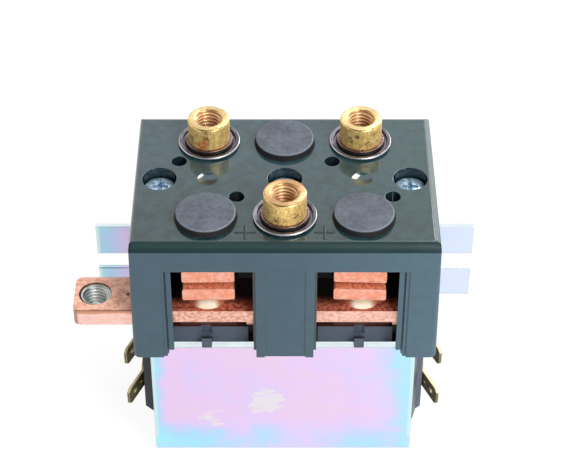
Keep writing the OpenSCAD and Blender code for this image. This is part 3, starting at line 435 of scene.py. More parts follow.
def brass_finish(name, bush, ring_tones, stains):
    """Turned brass: ring on top blotched in two tones, olive speckles and streaks down the
    side with a painted highlight on its edges, and coppery in the thread with painted shade
    in its roots. The bush is (x, y, foot z, top z, radius). A stain is an angle in degrees,
    a height over the foot and a reach in mm, and a colour."""
    x, y, base_z, top_z, outer = bush
    f = Finish(name, srgb(246, 208, 128), 0.3)
    edge_wear_and_glint, round_normal = f.edges(0.25 * MM)
    radius = f.from_axes([(x, y)])
    side = f.step(f.nz, 0.5, 0.2)
    ring = f.step(f.nz, 0.8, 0.95)
    streaks = f.noise(0.6 * MM, 4.0, 0.65, stretch=(1, 1, 4))
    blotches = f.noise(1.3 * MM, 5.0, 0.7)
    tone = f.mix(f.step(blotches, 0.4, 0.62), srgb(232, 190, 112), srgb(255, 226, 152))
    streaked = f.every(side, f.level(f.step(streaks, 0.48, 0.66), 0.0, 0.5))
    tone = f.mix(streaked, tone, srgb(150, 116, 54))
    tone = f.mix(f.every(side, f.specks(1.3 * MM, 0.32 * MM, 0.42)), tone, srgb(124, 92, 44))
    tone = f.mix(ring, tone, f.mix(f.step(blotches, 0.35, 0.65), *ring_tones))
    pits = f.every(ring, f.step(f.noise(0.7 * MM, 4.0, 0.7), 0.58, 0.68))
    tone = f.mix(f.level(pits, 0.0, 0.45), tone, srgb(170, 130, 70))
    bore = f.step(radius, BORE_R + 0.85 * MM, BORE_R + 0.7 * MM)
    bore = f.every(bore, f.step(f.z, top_z, top_z - 0.5 * MM))
    # Painted shade in the thread's roots
    groove = f.step(radius, BORE_R + 0.15 * MM, BORE_R + 0.5 * MM)
    tone = f.mix(bore, tone, f.mix(groove, srgb(252, 214, 160), srgb(186, 120, 78)))
    for angle, height, reach, colour in stains:
        a = math.radians(angle)
        spot = (x + outer * math.cos(a), y + outer * math.sin(a), base_z + height * MM)
        patch = f.step(f.noise(0.8 * MM, 5.0, 0.7), 0.4, 0.56)
        close = f.near(*spot, 0.35 * reach * MM, 0.65 * reach * MM)
        tone = f.mix(f.every(close, patch), tone, colour)
    # Edges of the side paler: painted highlight with wear
    f.set("Base Color", f.mix(f.every(edge_wear_and_glint, side), tone, srgb(252, 230, 168)))
    f.set("Metallic", f.level(f.either(side, bore), 1.0, 0.5))
    f.set("Roughness", f.plus(f.level(f.noise(0.8 * MM, 3.0), 0.2, 0.4), f.level(side, 0.0, 0.16)))
    tool_pitch = 0.22 * MM
    turning = f.math("SINE", f.times(radius, TURN / tool_pitch))
    relief = f.plus(f.every(turning, ring), f.every(streaks, f.level(side, 0.0, 4.0)))
    f.bump(relief, 0.008 * MM, round_normal)
    return f.material


def copper_tones(name, front, top, tarnish, grain_along, patch, flat_metal):
    """Sawn and drawn copper, before its last marks: upright faces in one tone, flats in another
    and duller, with grain along one axis, patches of darker tarnish and edges paler with
    wear and painted highlight."""
    f = Finish(name, front, 0.32)
    edge_wear_and_glint, round_normal = f.edges(0.3 * MM)
    flat = f.step(f.absolute(f.nz), 0.6, 0.9)
    grain = f.noise(0.7 * MM, 5.0, 0.7, stretch=grain_along)
    mottle = f.noise(patch, 5.0, 0.75)
    tone = f.mix(f.step(f.noise(1.8 * MM, 4.0), 0.35, 0.68), front, paler(front, 0.2))
    tone = f.mix(f.level(f.step(grain, 0.5, 0.7), 0.0, 0.5), tone, tarnish)
    tone = f.mix(f.level(f.step(mottle, 0.54, 0.68), 0.0, 0.4), tone, paler(front, 0.5))
    flat_tone = f.mix(f.level(f.step(mottle, 0.42, 0.62), 0.0, 0.8), top, tarnish)
    glints = f.step(f.noise(0.7 * MM, 4.0, 0.7), 0.56, 0.7)
    flat_tone = f.mix(f.level(glints, 0.0, 0.6), flat_tone, paler(top, 0.4))
    tone = f.mix(flat, tone, flat_tone)
    # Edges paler: painted highlight with wear
    tone = f.mix(f.every(edge_wear_and_glint, f.level(mottle, 0.2, 0.9)), tone, paler(front, 0.5))
    f.set("Metallic", f.level(flat, 0.85, flat_metal))
    f.set("Roughness", f.plus(f.level(mottle, 0.26, 0.42), f.level(flat, 0.0, 0.1)))
    f.bump(f.plus(grain, mottle), 0.012 * MM, round_normal)
    return f, tone


def bar_finish():
    """The moving bars and the other copper in the housing."""
    f, tone = copper_tones("bar_copper", front=srgb(242, 156, 124), top=srgb(250, 158, 118),
                           tarnish=srgb(182, 92, 60), grain_along=(3, 1, 1), patch=0.9 * MM,
                           flat_metal=0.15)
    f.set("Base Color", tone)
    return f.material


def rail_finish():
    """The common rail: in the housing reddish on top, the copper's tone with painted reflection
    of the bars beside the tips, and going to an almost black painted shade towards the rear
    away from them; speckled on its front, which is darker towards its foot as painted shade
    and paler on its right half as painted light. Outside it is scratched and browner, with a
    ragged dark line along its front top edge, a band of wear below that line, a painted pink
    highlight along its rear edge, a dull end and painted shade in a dark gap round the insert."""
    f, tone = copper_tones("rail_copper", front=srgb(250, 198, 184), top=srgb(255, 198, 172),
                           tarnish=srgb(206, 140, 116), grain_along=(5, 1, 1), patch=2.2 * MM,
                           flat_metal=0.35)
    flat = f.step(f.nz, 0.6, 0.9)
    front = f.step(f.ny, -0.6, -0.9)
    outside = f.step(f.x, -housing_right + 1 * MM, -housing_right - 1 * MM)
    ragged = f.level(f.noise(1.5 * MM, 4.0, stretch=(3, 1, 1)), -0.7 * MM, 0.7 * MM)
    above = f.plus(f.minus(f.z, rail_high.z), ragged)
    band = f.every(front, outside, f.step(above, -1.1 * MM, -0.9 * MM))
    tone = f.mix(f.level(band, 0.0, 0.85), tone, srgb(206, 140, 104))
    inward = f.plus(f.minus(f.y, rail_low.y), ragged)
    line = f.every(flat, outside, f.step(inward, 0.7 * MM, 0.5 * MM))
    tone = f.mix(f.level(line, 0.0, 0.8), tone, srgb(132, 78, 48))
    end = f.every(f.step(f.nx, -0.2, -0.5), f.step(f.nz, 0.5, 0.3))
    tone = f.mix(f.level(end, 0.0, 0.8), tone, srgb(150, 122, 104))
    speckle = f.step(f.noise(0.8 * MM, 5.0, 0.75, stretch=(1.6, 1, 1)), 0.36, 0.62)
    inside_tone = f.mix(speckle, srgb(206, 138, 114), srgb(252, 204, 186))
    # Painted shade: the front face in the housing darker towards its foot
    foot = f.step(f.plus(f.minus(f.z, rail_low.z), ragged), 1.3 * MM, 0.3 * MM)
    inside_tone = f.mix(f.level(foot, 0.0, 0.7), inside_tone, srgb(150, 84, 66))
    # Painted light: the right half of the front face in the housing paler
    right_half_light = f.step(f.x, -4 * MM, 4 * MM)
    inside_tone = f.mix(f.level(right_half_light, 0.0, 0.25), inside_tone, srgb(255, 214, 198))
    tone = f.mix(f.every(front, f.without(outside)), tone, inside_tone)
    # Painted highlight: a pink line along the rear edge of the top outside the housing
    pink = f.every(flat, outside, f.step(f.y, rail_high.y - 1.4 * MM, rail_high.y - 0.4 * MM))
    tone = f.mix(f.level(pink, 0.0, 0.7), tone, srgb(255, 200, 186))
    scars = f.step(f.noise(1.1 * MM, 6.0, 0.75, stretch=(1.6, 1, 1)), 0.58, 0.68)
    tone = f.mix(f.level(f.every(flat, outside, scars), 0.0, 0.65), tone, srgb(176, 104, 80))
    # Reddish top in the housing, with painted reflection of the bars beside the tips, going to an
    # almost black painted shade towards the rear away from them
    cloud = f.step(f.noise(1.2 * MM, 5.0), 0.35, 0.65)
    reddish = f.mix(cloud, srgb(158, 76, 58), srgb(236, 140, 110))
    from_tips = f.absolute(f.minus(f.absolute(f.x), POLE_X))
    aside = f.step(from_tips, 4 * MM, 9 * MM)
    rearward_shading = f.step(f.y, rail_low.y + 1.6 * MM, rail_low.y + 7 * MM)
    reddish = f.mix(f.every(rearward_shading, f.level(aside, 0.3, 1.0)), reddish, srgb(30, 12, 12))
    tone = f.mix(f.every(flat, f.without(outside)), tone, reddish)
    # Painted shade in the gap round the insert
    seat = (insert_x - 0.3 * MM, insert_y + 0.2 * MM, rail_high.z)
    gap = f.every(flat, f.near(*seat, 4.85 * MM, 0.12 * MM))
    f.set("Base Color", f.mix(gap, tone, srgb(46, 22, 18)))
    return f.material


# The film's colours, from the sheet's ends to its middle
FILM_STOPS = (
    (0.3, srgb(164, 242, 252)), (0.45, srgb(174, 226, 254)), (0.54, srgb(206, 214, 252)),
    (0.62, srgb(226, 208, 250)), (0.72, srgb(238, 204, 244)), (0.84, srgb(238, 210, 232)),
)


def zinc_finish(name, left, right, low, high, left_veil, right_veil, shares):
    """Zinc plate under a thin clear film, whose colour runs from cyan at the sheet's ends
    through blue and lavender to pink in the middle, with chalky scuffs, a painted highlight
    up each end and along its edges, and a cut top edge that is nearly white, brightened as a
    painted highlight with its normal turned forward. Left and right are the places where the
    ends' colour starts and stops, and low and high are the heights over which the pink comes
    in. A veil greys the film, by the first share at the left end and by the second at the
    right; where the veil is darker than the film, it is painted shade."""
    f = Finish(name, srgb(222, 214, 244), 0.3)
    edge_wear_and_glint, round_normal = f.edges(0.9 * MM)
    inward = f.every(f.step(f.x, *left), f.step(f.x, *right))
    upward = f.level(f.step(f.z, low, high), 0.2, 1.0)
    film = f.plus(f.times(f.noise(24 * MM, 2.0, 0.5, warp=0.4), 0.45),
                  f.times(f.noise(4.5 * MM, 4.0, 0.6), 0.3))
    film = f.plus(film, f.times(f.every(inward, upward), 0.33))
    middle = f.every(f.step(f.z, high, low), f.step(f.absolute(f.x), 22 * MM, 12 * MM))
    fold = f.either(f.step(f.z, 3.5 * MM, 1.5 * MM), middle)
    film = f.plus(film, f.times(fold, 0.1))
    rightward = f.step(f.x, left[1], right[1])
    veil = f.mix(rightward, left_veil, right_veil)
    tone = f.mix(f.level(rightward, *shares), f.ramp(film, FILM_STOPS), veil)
    scuffs = f.either(f.times(f.near(-6 * MM, yoke_low.y, 24 * MM, 2 * MM, 8 * MM), 0.34),
                      f.times(f.near(-23 * MM, yoke_low.y, 15.5 * MM, 1 * MM, 8 * MM), 0.2))
    ragged = f.plus(f.noise(3 * MM, 6.0, 0.7, stretch=(2.2, 1, 1)), scuffs)
    tone = f.mix(f.level(f.step(ragged, 0.7, 0.76), 0.0, 0.75), tone, srgb(236, 234, 232))
    # Painted highlight up each end of the sheet
    end = f.either(f.step(f.x, left[0] + 1.4 * MM, left[0] + 0.8 * MM),
                   f.step(f.x, right[0] - 1.4 * MM, right[0] - 0.8 * MM))
    end_highlight = f.every(end, f.step(f.z, low, low + 1 * MM))
    tone = f.mix(f.level(end_highlight, 0.0, 0.45), tone, srgb(232, 250, 226))
    # Edges paler: painted highlight with wear
    tone = f.mix(f.level(edge_wear_and_glint, 0.0, 0.7), tone, srgb(236, 246, 236))
    # The cut top edge: nearly white, brightened as a painted highlight, with its normal turned
    # forward
    cut = f.every(f.step(f.nz, 0.7, 0.9), f.step(f.z, yoke_high.z - 2 * MM, yoke_high.z - 1 * MM))
    f.set("Base Color", f.mix(cut, tone, srgb(236, 250, 255)))
    f.set("Metallic", 1.0)
    f.set("Roughness", f.minus(f.level(f.noise(5 * MM, 4.0), 0.26, 0.4), f.level(cut, 0.0, 0.18)))
    rolled = f.mix(cut, round_normal, f.turned(0.0, math.radians(66)))
    f.bump(f.noise(0.7 * MM, 3.0), 0.004 * MM, rolled)
    return f.material


def plated_finish(name, light, dark, low_rough, high_rough, grain=0.6, metallic=1.0):
    """Plated or dark steel: two tones in fine blotches of about the grain in mm, uneven gloss,
    and edges paler with wear and painted highlight."""
    f = Finish(name, light, low_rough, metallic)
    edge_wear_and_glint, round_normal = f.edges(0.2 * MM)
    blotches = f.noise(grain * MM, 4.0, 0.65)
    tone = f.mix(f.step(blotches, 0.35, 0.65), dark, light)
    # Edges paler: painted highlight with wear
    f.set("Base Color", f.mix(edge_wear_and_glint, tone, paler(light, 0.4)))
    f.set("Roughness", f.level(f.noise(2 * grain * MM, 3.0), low_rough, high_rough))
    f.bump(blotches, 0.01 * MM, round_normal)
    return f.material


def washer_finish():
    """Dark purple-grey plate, with a painted highlight on its rim and painted shade in its groove
    and underneath.
    """
    f = Finish("washer_plate", srgb(112, 104, 116), 0.36, metallic=0.85)
    round_normal = f.edges(0.15 * MM)[1]
    radius = f.from_axes(terminal_axes)
    mottle = f.step(f.noise(2.5 * MM, 4.0, 0.6), 0.3, 0.7)
    tone = f.mix(mottle, srgb(84, 82, 90), srgb(128, 122, 128))
    dish = f.step(radius, washer_r - 1.0 * MM, washer_r - 1.2 * MM)
    tone = f.mix(dish, tone, srgb(104, 102, 108))
    # Painted highlight on the rim
    rim = f.step(radius, washer_r - 0.26 * MM, washer_r - 0.16 * MM)
    tone = f.mix(rim, tone, srgb(214, 216, 222))
    # Painted shade in the groove
    groove = f.between(radius, ring_r + 0.1 * MM, ring_r + 0.3 * MM, 0.1 * MM)
    tone = f.mix(groove, tone, srgb(40, 40, 44))
    # Painted shade underneath
    f.set("Base Color", f.mix(f.step(f.nz, -0.2, -0.5), tone, srgb(20, 20, 24)))
    f.set("Roughness", f.level(f.noise(1.5 * MM, 3.0), 0.3, 0.46))
    f.bump(f.noise(0.4 * MM, 3.0), 0.006 * MM, round_normal)
    return f.material


def moulded_tones(name, light, dark, roughness):
    """Matte moulding, before its last marks: slow change of tone, fine grain, a little dust
    and edges slightly paler with wear and painted highlight."""
    f = Finish(name, light, roughness)
    edge_wear_and_glint, round_normal = f.edges(0.25 * MM)
    tone = f.mix(f.noise(5 * MM, 4.0), dark, light)
    tone = f.mix(f.specks(3 * MM, 0.12 * MM, 0.4), tone, paler(light, 0.3))
    # Edges paler: painted highlight with wear
    tone = f.mix(f.every(edge_wear_and_glint, f.level(f.noise(2 * MM), 0.0, 0.6)), tone, paler(light, 0.2))
    f.set("Roughness", f.level(f.noise(3 * MM, 3.0), roughness - 0.08, roughness + 0.08))
    f.bump(f.noise(0.35 * MM, 3.0), 0.025 * MM, round_normal)
    return f, tone


def moulded_finish(name, light, dark, roughness):
    """Matte moulding with no further marks."""
    f, tone = moulded_tones(name, light, dark, roughness)
    f.set("Base Color", tone)
    return f.material


def deck_finish():
    """Slate moulding, dark brown below the rail with painted shade and painted reflection of the
    copper, and black with painted shade where set back and behind its hooks.
    """
    f, tone = moulded_tones("deck_moulding", srgb(72, 82, 98), srgb(57, 66, 82), 0.5)
    # Painted shade and painted reflection of the copper on the deck's top below the rail
    ledge = f.every(f.step(f.nz, 0.6, 0.9), f.step(f.z, deck_top - 1.2 * MM, deck_top - 1 * MM))
    shade_under_rail = f.either(f.step(f.z, deck_top - 0.15 * MM, deck_top + 0.05 * MM), ledge)
    hook = f.step(f.y, deck_face - 0.2 * MM, deck_face - 0.4 * MM)
    tone = f.mix(f.every(shade_under_rail, f.without(hook)), tone, srgb(72, 36, 32))
    # Painted shade, nearly black, where the face is set back and behind the hooks
    set_back = f.step(f.absolute(f.y), -deck_face - 1.1 * MM, -deck_face - 1.4 * MM)
    hooks = [f.between(f.x, x - 1.6 * MM, x + 1.6 * MM, 0.1 * MM) for x in hook_places]
    behind = f.every(f.step(f.y, yoke_low.y + 0.7 * MM, yoke_low.y + 0.8 * MM),
                     f.step(f.z, yoke_high.z + 2.3 * MM, yoke_high.z + 2.1 * MM))
    slot_shade = f.every(behind, f.either(*hooks))
    f.set("Base Color", f.mix(f.either(set_back, slot_shade), tone, srgb(16, 16, 20)))
    return f.material


def tab_finish():
    """Tarnished brass strip: olive-brown faces, and stamped edges brightened as painted highlight.
    """
    f = Finish("tab_brass", srgb(120, 100, 50), 0.38, metallic=0.3)
    edge_wear_and_glint, round_normal = f.edges(0.2 * MM)
    mottle = f.step(f.noise(1.5 * MM, 5.0, 0.65), 0.35, 0.65)
    tone = f.mix(mottle, srgb(92, 84, 58), srgb(124, 114, 82))
    # Painted highlight on the stamped edges and on the narrow faces that face up and down
    stamped = f.either(edge_wear_and_glint, f.step(f.absolute(f.nz), 0.5, 0.8))
    f.set("Base Color", f.mix(f.level(stamped, 0.0, 0.8), tone, srgb(236, 218, 170)))
    f.set("Roughness", f.level(f.noise(2 * MM, 3.0), 0.3, 0.5))
    f.bump(f.noise(0.4 * MM, 3.0), 0.01 * MM, round_normal)
    return f.material


def tip_finish():
    """Silvered contact domes, pale in the middle of their width, and coppery aside as a painted
    reflection of the copper round them.
    """
    f = Finish("tip_silver", srgb(255, 244, 226), 0.3, metallic=0.05)
    # Coppery aside: painted reflection of the copper round the domes
    from_middle = f.absolute(f.minus(f.absolute(f.x), tip_places[1]))
    aside = f.step(from_middle, 1.8 * MM, 4.2 * MM)
    mottle = f.step(f.noise(1.2 * MM, 4.0, 0.65), 0.35, 0.65)
    tone = f.mix(mottle, srgb(255, 240, 210), srgb(255, 252, 236))
    f.set("Base Color", f.mix(f.level(aside, 0.0, 0.95), tone, srgb(192, 114, 78)))
    f.bump(f.noise(0.9 * MM, 3.0), 0.006 * MM)
    return f.material


def insert_finish():
    """Pale zinc plate on the threaded insert; in its bore the thread's crests are nearly white
    as painted highlight, its grooves greyer as painted shade, and the left of the bore dark
    with painted shade."""
    f = Finish("insert_steel", srgb(222, 228, 220), 0.34, metallic=0.5)
    radius = f.from_axes([(insert_x, insert_y)])
    bore = f.every(f.step(radius, BORE_R + 0.8 * MM, BORE_R + 0.7 * MM),
                   f.step(f.z, rail_high.z, rail_high.z - 0.5 * MM))
    tone = f.mix(f.noise(1.2 * MM, 4.0, 0.65), srgb(196, 202, 194), srgb(238, 242, 236))
    # Painted highlight on the thread's crests and painted shade in its grooves
    groove = f.step(radius, BORE_R + 0.15 * MM, BORE_R + 0.5 * MM)
    wall = f.mix(groove, srgb(255, 255, 250), srgb(168, 180, 174))
    # Painted shade on the left of the bore
    wall = f.mix(f.level(f.step(f.nx, 0.3, 0.7), 0.0, 0.8), wall, srgb(66, 90, 96))
    f.set("Base Color", f.mix(bore, tone, wall))
    f.set("Roughness", f.level(bore, 0.3, 0.42))
    return f.material


def coil_finish():
    """Amber tape over wound wire: soft bands where the wire shows through."""
    f = Finish("coil_tape", srgb(110, 72, 34), 0.35)
    wire_pitch = 0.8 * MM
    wires = f.math("SINE", f.times(f.z, TURN / wire_pitch))
    tone = f.mix(f.noise(6 * MM, 4.0), srgb(84, 54, 26), srgb(132, 90, 42))
    f.set("Base Color", f.mix(f.step(wires, 0.2, 1.0), tone, srgb(160, 108, 52)))
    f.set("Roughness", f.level(f.noise(4 * MM), 0.25, 0.45))
    f.bump(wires, 0.03 * MM)
    return f.material


def dress(material, *names):
    """Gives CAD nodes a finish."""
    for name in names:
        mesh = nodes[name].data
        mesh.materials.clear()
        mesh.materials.append(material)


copper = bar_finish()
core_steel = plated_finish("core_steel", srgb(185, 185, 190), srgb(120, 118, 120), 0.3, 0.5)
tip_silver = tip_finish()
insert_steel = insert_finish()
rivet_steel = plated_finish("rivet_steel", srgb(204, 203, 214), srgb(188, 188, 200), 0.28, 0.38,
                            grain=1.6)
spring_steel = plated_finish("spring_steel", srgb(190, 190, 195), srgb(130, 130, 136), 0.2, 0.35)
ring_steel = plated_finish("ring_steel", srgb(160, 128, 124), srgb(104, 82, 84), 0.34, 0.5,
                           grain=1.2)
screw_zinc = plated_finish("screw_zinc", srgb(204, 228, 244), srgb(112, 152, 184), 0.2, 0.36,
                           grain=1.0, metallic=0.4)
# The two covers are one plastic: the right one is paler as painted light from the right
dark_cover = moulded_finish("dark_cover", srgb(56, 60, 72), srgb(36, 40, 50), 0.42)
grey_cover = moulded_finish("grey_cover", srgb(112, 118, 132), srgb(84, 90, 104), 0.42)
bobbin_moulding = moulded_finish("bobbin_moulding", srgb(38, 40, 44), srgb(28, 29, 33), 0.5)
carrier_moulding = moulded_finish("carrier_moulding", srgb(226, 220, 200), srgb(206, 198, 172),
                                  0.45)
mark_moulding = moulded_finish("mark_moulding", srgb(34, 52, 54), srgb(24, 42, 44), 0.2)
tab_brass = tab_finish()
coil_tape = coil_finish()

dress(housing_finish(), "housing")
dress(rubber_finish(), "left_front_cap", "right_front_cap", "rear_cap")
dress(rail_finish(), "common_rail")
yoke_zinc = zinc_finish(
    "yoke_zinc", left=(yoke_low.x, -35 * MM), right=(yoke_high.x, 25 * MM),
    low=7 * MM, high=19 * MM, left_veil=srgb(236, 236, 250), right_veil=srgb(236, 240, 252),
    shares=(0.1, 0.15))
# The bracket's grey veil at its left end is painted shade under the housing
bracket_zinc = zinc_finish(
    "bracket_zinc", left=(-62 * MM, -50 * MM), right=(80 * MM, 58 * MM),
    low=0.0, high=1 * MM, left_veil=srgb(172, 176, 198), right_veil=srgb(218, 236, 255),
    shares=(0.45, 0.8))
dress(yoke_zinc, "yoke")
dress(bracket_zinc, "mounting_bracket")
dress(core_steel, "pole_plate")
dress(rivet_steel, "bracket_rivets")
dress(deck_finish(), "insulating_deck")
dress(copper, "upper_link")
dress(tip_silver, "front_fixed_tips", "rear_fixed_tips")
dress(washer_finish(), *(place + "_washer" for place in TERMINALS))
dress(ring_steel, *(place + "_ring" for place in TERMINALS))
dress(screw_zinc, "left_screw", "centre_screw", "right_screw")
dress(dark_cover, "left_terminal_cover")
dress(grey_cover, "right_terminal_cover")
for side in SIDES:
    dress(copper, side + "_rear_contact", side + "_lower_bar", side + "_upper_bar")
    dress(tip_silver, side + "_moving_tips")
    dress(bobbin_moulding, side + "_bobbin")
    dress(coil_tape, side + "_winding")
    dress(tab_brass, side + "_upper_tab", side + "_lower_tab")
    dress(core_steel, side + "_core", side + "_plunger", side + "_spindle")
    dress(carrier_moulding, side + "_carrier")
    dress(spring_steel, side + "_disc_springs")
    dress(rivet_steel, side + "_nut")


# Threaded terminals

RUST = srgb(222, 110, 50)
BROWN = srgb(150, 84, 46)
DARK = srgb(112, 92, 52)
COPPERY = srgb(244, 176, 146)
PALE_RING = (srgb(220, 190, 132), srgb(232, 204, 150))
COPPERY_RING = (srgb(198, 150, 104), srgb(214, 174, 128))
RING_TONES = {"front": COPPERY_RING, "left_rear": PALE_RING, "right_rear": PALE_RING}
BUSH_STAINS = {
    "front": [(-15, 6.4, 2.6, COPPERY), (25, 7.2, 2.4, COPPERY), (-112, 2.0, 1.6, DARK),
              (-60, 3.2, 1.6, BROWN)],
    "left_rear": [(-108, 1.6, 2.2, RUST), (-100, 2.8, 1.6, RUST), (-97, 4.6, 1.3, BROWN),
                  (-95, 6.6, 1.0, BROWN), (-145, 3.0, 1.4, DARK)],
    "right_rear": [(-122, 3.6, 1.6, DARK), (-102, 5.2, 1.2, DARK), (-72, 2.4, 1.2, DARK),
                   (-50, 5.0, 1.2, BROWN)],
}


def bush_outline(shoulder_z, low, high, outer):
    """Outside of a bush from the mouth's edge: ring on top, rounded rim, wall, spigot."""
    rim = 0.5 * MM
    spigot = 4.9 * MM
    corner = arc(rim, 90, 0, 7) + [outer - rim, high - rim]
    ends = [[MOUTH_R + 0.4 * MM, high], [MOUTH_R + 1.2 * MM, high]]
    wall = [[outer, z] for z in np.linspace(high - 2 * rim, shoulder_z + rim, 5)]
    foot = [[outer, shoulder_z], [spigot, shoulder_z], [spigot, low], [BORE_R + 0.4 * MM, low]]
    return np.array([*ends, *corner, *wall, *foot])


INSERT_LIP_H = 0.5 * MM


def insert_outline(low, high, flange):
    """Outside of the insert from the mouth's edge: flat end, body, flange below, and a
    lip that narrows the far end of the bore."""
    body = flange - 0.9 * MM
    bevel = 0.1 * MM
    flange_top = low + 0.8 * MM
    lip_r = BORE_R - 1.0 * MM
    return np.array([
        [MOUTH_R + bevel, high], [body - bevel, high], [body, high - bevel], [body, flange_top],
        [flange, flange_top], [flange, low], [lip_r, low], [lip_r, low + INSERT_LIP_H]])


def take_place(piece, node):
    """Shows a piece of the fixed frame in place of a CAD node."""
    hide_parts(node)
    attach(piece, "frame")


for place, stains in BUSH_STAINS.items():
    node = place + "_bush"
    x, y, low, high, outer = axis_and_span(node)
    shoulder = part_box(place + "_ring")[1].z
    bush = (x, y, shoulder, high, outer)
    brass = brass_finish(place + "_bush_brass", bush, RING_TONES[place], stains)
    outline = bush_outline(shoulder, low, high, outer)
    turned = threaded_turning(place + "_threaded_bush", (x, y), outline, low, high, brass)
    take_place(turned, node)

_, _, low, high, flange = axis_and_span("threaded_insert")
outline = insert_outline(low, high, flange)
insert = threaded_turning("side_threaded_insert", (insert_x, insert_y), outline,
                          low + INSERT_LIP_H, high, insert_steel)
take_place(insert, "threaded_insert")


# Return springs

SPRING_TURNS = 8
STEPS_PER_TURN = 36
COIL_R = 3.15 * MM
WIRE_R = 0.45 * MM
WIRE_SIDES = 12
CLOSED_RISE = 2.24 * WIRE_R


def helical_spring(name, centre, low, high, material):
    """Round wire on a helix: a ring of the wire's radius about (COIL_R, rise) in the
    plane through the axis, turned by the angle. The rise is even but for the end turns,
    which lie close, and both ends shrink to a point."""
    steps = SPRING_TURNS * STEPS_PER_TURN + 1
    turn = np.linspace(0, SPRING_TURNS, steps)
    inner = high - low - 2 * WIRE_R - 2 * CLOSED_RISE
    rise = np.interp(turn, [0, 1, SPRING_TURNS - 1, SPRING_TURNS],
                     [0, CLOSED_RISE, CLOSED_RISE + inner, inner + 2 * CLOSED_RISE])
    wire = np.full(steps, WIRE_R)
    turn, rise, wire = (np.concatenate([a[:1], a, a[-1:]]) for a in (turn, rise, wire))
    wire[[0, -1]] = 0
    around = np.arange(WIRE_SIDES)[:, None] * TURN / WIRE_SIDES
    radius = COIL_R + wire * np.cos(around)
    x = centre[0] + radius * np.cos(TURN * turn)
    y = centre[1] + radius * np.sin(TURN * turn)
    z = low + WIRE_R + rise + wire * np.sin(around)
    return closed_surface(name, np.stack([x, y, z], axis=-1), False, material)


for side in SIDES:
    node = side + "_return_spring"
    x = axis_and_span(side + "_core")[0]
    low, high = (corner.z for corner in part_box(node))
    spring = helical_spring(side + "_helical_spring", (x, 0), low, high, spring_steel)
    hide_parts(node)
    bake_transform(spring)


# Raised plus signs on the housing's top, one beside each front cap

MARK_X = 11.5 * MM
MARK_Y = -24.4 * MM
MARK_ARM = 3.2 * MM
MARK_WIDTH = 0.9 * MM
MARK_HEIGHT = 0.12 * MM
MARK_END = 0.1
MARK_SIDES = 12
MARK_ROWS = 25


def ridge(start, end):
    """A low rounded bead from start to end on the housing's top: each cross-section is
    an ellipse whose lower half sinks in, and both ends close in a quarter round over the
    share MARK_END of the half length."""
    start, end = np.array(start), np.array(end)
    length = np.linalg.norm(end - start)
    along = (end - start) / length
    across = np.array([-along[1], along[0]])
    lap = np.linspace(-1, 1, MARK_ROWS)
    past = np.clip((np.abs(lap) - (1 - MARK_END)) / MARK_END, 0, 1)
    fullness = np.sqrt(1 - past ** 2)
    middle = (start + end) / 2 + along * length / 2 * lap[:, None]
    around = np.arange(MARK_SIDES)[:, None] * TURN / MARK_SIDES
    plan = middle[None] + across * (MARK_WIDTH / 2 * np.cos(around) * fullness)[..., None]
    z = housing_top + MARK_HEIGHT * np.sin(around) * fullness
    return np.concatenate([plan, z[..., None]], axis=-1)


for side, x in zip(SIDES, (-MARK_X, MARK_X)):
    for arm, reach in (("across", (MARK_ARM, 0)), ("along", (0, MARK_ARM))):
        points = ridge((x - reach[0], MARK_Y - reach[1]), (x + reach[0], MARK_Y + reach[1]))
        mark = closed_surface(f"{side}_plus_{arm}", points, False, mark_moulding)
        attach(mark, "frame")


# Floor, light and camera

# The floor's glow and grey where it is seen, and its grey where it only reflects light
FLOOR_SIZE = 6
FLOOR_GLOW = 0.9
FLOOR_SEEN = 0.16
FLOOR_LIT = 0.85

# The world's soft light, and the level edges of the dark card as (y, z)
SOFT_LIGHT = 0.5
CARD_FRONT = (-1.1, 0.35)
CARD_REAR = (0.45, 1.0)
CARD_WIDTH = 1.6
CARD_BLACK = (0.02, 0.02, 0.02)

# Name, place, width, height and power of each lamp, and the point that all aim at
LAMPS = (
    ("key_lamp", (0.6, 1.2, 1.55), 0.36, 1.5, 18.0),
    ("right_lamp", (0.62, 0.72, 0.3), 0.35, 0.35, 1.8),
    ("front_lamp", (0.36, -0.5, 0.54), 0.34, 0.45, 4.8),
)
LAMPS_AIM = (0, 0, 0.05)

# The camera's place, its tilt from straight down, and its sensor and lens in mm
EYE = (-0.57 * MM, -415.4 * MM, 434.1 * MM)
EYE_TILT = math.radians(48.66)
SENSOR = 36
LENS = 114.49


def seen_directly(tree):
    """1 for camera, mirror and glass rays, and 0 for the rays that carry soft light."""
    path = tree.nodes.new("ShaderNodeLightPath").outputs
    result = path["Is Camera Ray"]
    for ray in ("Is Glossy Ray", "Is Transmission Ray"):
        larger = tree.nodes.new("ShaderNodeMath")
        larger.operation = "MAXIMUM"
        tree.links.new(result, larger.inputs[0])
        tree.links.new(path[ray], larger.inputs[1])
        result = larger.outputs[0]
    return result


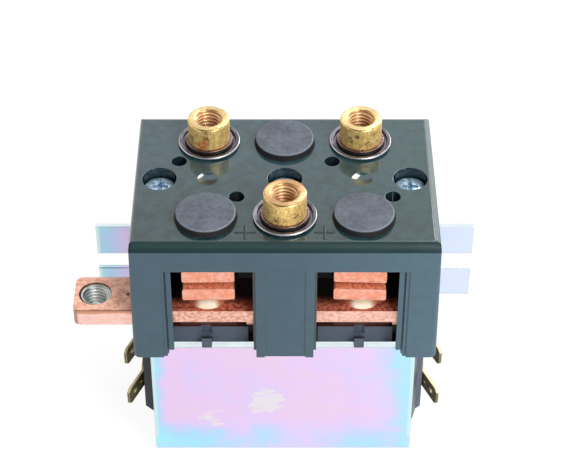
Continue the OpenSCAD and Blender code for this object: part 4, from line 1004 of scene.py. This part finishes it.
def make_floor():
    """A wide white floor that glows where it is seen, so that it renders white and still
    takes the object's soft shadow."""
    bpy.ops.mesh.primitive_plane_add(size=FLOOR_SIZE)
    floor = bpy.context.object
    floor.name = "studio_floor"
    material = bpy.data.materials.new("floor_white")
    material.use_nodes = True
    tree = material.node_tree
    tree.nodes.clear()
    even, faint = (tree.nodes.new("ShaderNodeBsdfDiffuse") for _ in range(2))
    even.inputs["Color"].default_value = (FLOOR_LIT, FLOOR_LIT, FLOOR_LIT, 1)
    faint.inputs["Color"].default_value = (FLOOR_SEEN, FLOOR_SEEN, FLOOR_SEEN, 1)
    glow = tree.nodes.new("ShaderNodeEmission")
    glow.inputs["Strength"].default_value = FLOOR_GLOW
    both = tree.nodes.new("ShaderNodeAddShader")
    mixed = tree.nodes.new("ShaderNodeMixShader")
    output = tree.nodes.new("ShaderNodeOutputMaterial")
    for source, target in (
        (glow.outputs[0], both.inputs[0]), (faint.outputs[0], both.inputs[1]),
        (seen_directly(tree), mixed.inputs[0]), (even.outputs[0], mixed.inputs[1]),
        (both.outputs[0], mixed.inputs[2]), (mixed.outputs[0], output.inputs[0]),
    ):
        tree.links.new(source, target)
    floor.data.materials.append(material)


def make_dark_card():
    """A slanted dark card over the camera and the object, which only gloss shows, as the
    dark ceiling of a studio does: it draws the rounded front edges. CARD_FRONT and
    CARD_REAR are (y, z) of its level edges."""
    half = CARD_WIDTH / 2
    mesh = bpy.data.meshes.new("dark_card")
    corners = [(-half, *CARD_FRONT), (half, *CARD_FRONT), (half, *CARD_REAR), (-half, *CARD_REAR)]
    mesh.from_pydata(corners, [], [(0, 1, 2, 3)])
    card = bpy.data.objects.new("dark_card", mesh)
    card.visible_camera = card.visible_diffuse = card.visible_shadow = False
    bpy.context.scene.collection.objects.link(card)
    mesh.materials.append(Finish("card_black", CARD_BLACK, 1.0).material)


def make_world():
    """White where it is seen or mirrored, and a level grey for soft light."""
    world = bpy.data.worlds.new("studio")
    bpy.context.scene.world = world
    world.use_nodes = True
    tree = world.node_tree
    back = tree.nodes["Background"]
    back.inputs["Color"].default_value = (1, 1, 1, 1)
    strength = tree.nodes.new("ShaderNodeMapRange")
    strength.inputs[3].default_value = SOFT_LIGHT
    tree.links.new(seen_directly(tree), strength.inputs[0])
    tree.links.new(strength.outputs[0], back.inputs["Strength"])


def softbox(name, place, width, height, power):
    """A rectangular area lamp aimed at the middle of the object."""
    lamp = bpy.data.lights.new(name, "AREA")
    lamp.shape = "RECTANGLE"
    lamp.size = width
    lamp.size_y = height
    lamp.energy = power
    box = bpy.data.objects.new(name, lamp)
    box.location = place
    box.rotation_euler = (Vector(LAMPS_AIM) - Vector(place)).to_track_quat("-Z", "Y").to_euler()
    bpy.context.scene.collection.objects.link(box)


def make_camera():
    """The photograph's view: from the front, 41 degrees above, through a long lens."""
    camera = bpy.data.cameras.new("camera")
    camera.sensor_width = SENSOR
    camera.lens = LENS
    camera.clip_start = 0.01
    eye = bpy.data.objects.new("camera", camera)
    eye.location = EYE
    eye.rotation_euler = (EYE_TILT, 0, 0)
    bpy.context.scene.collection.objects.link(eye)
    bpy.context.scene.camera = eye


make_floor()
make_world()
make_dark_card()
for lamp in LAMPS:
    softbox(*lamp)
make_camera()
bpy.context.scene.view_settings.view_transform = "Standard"
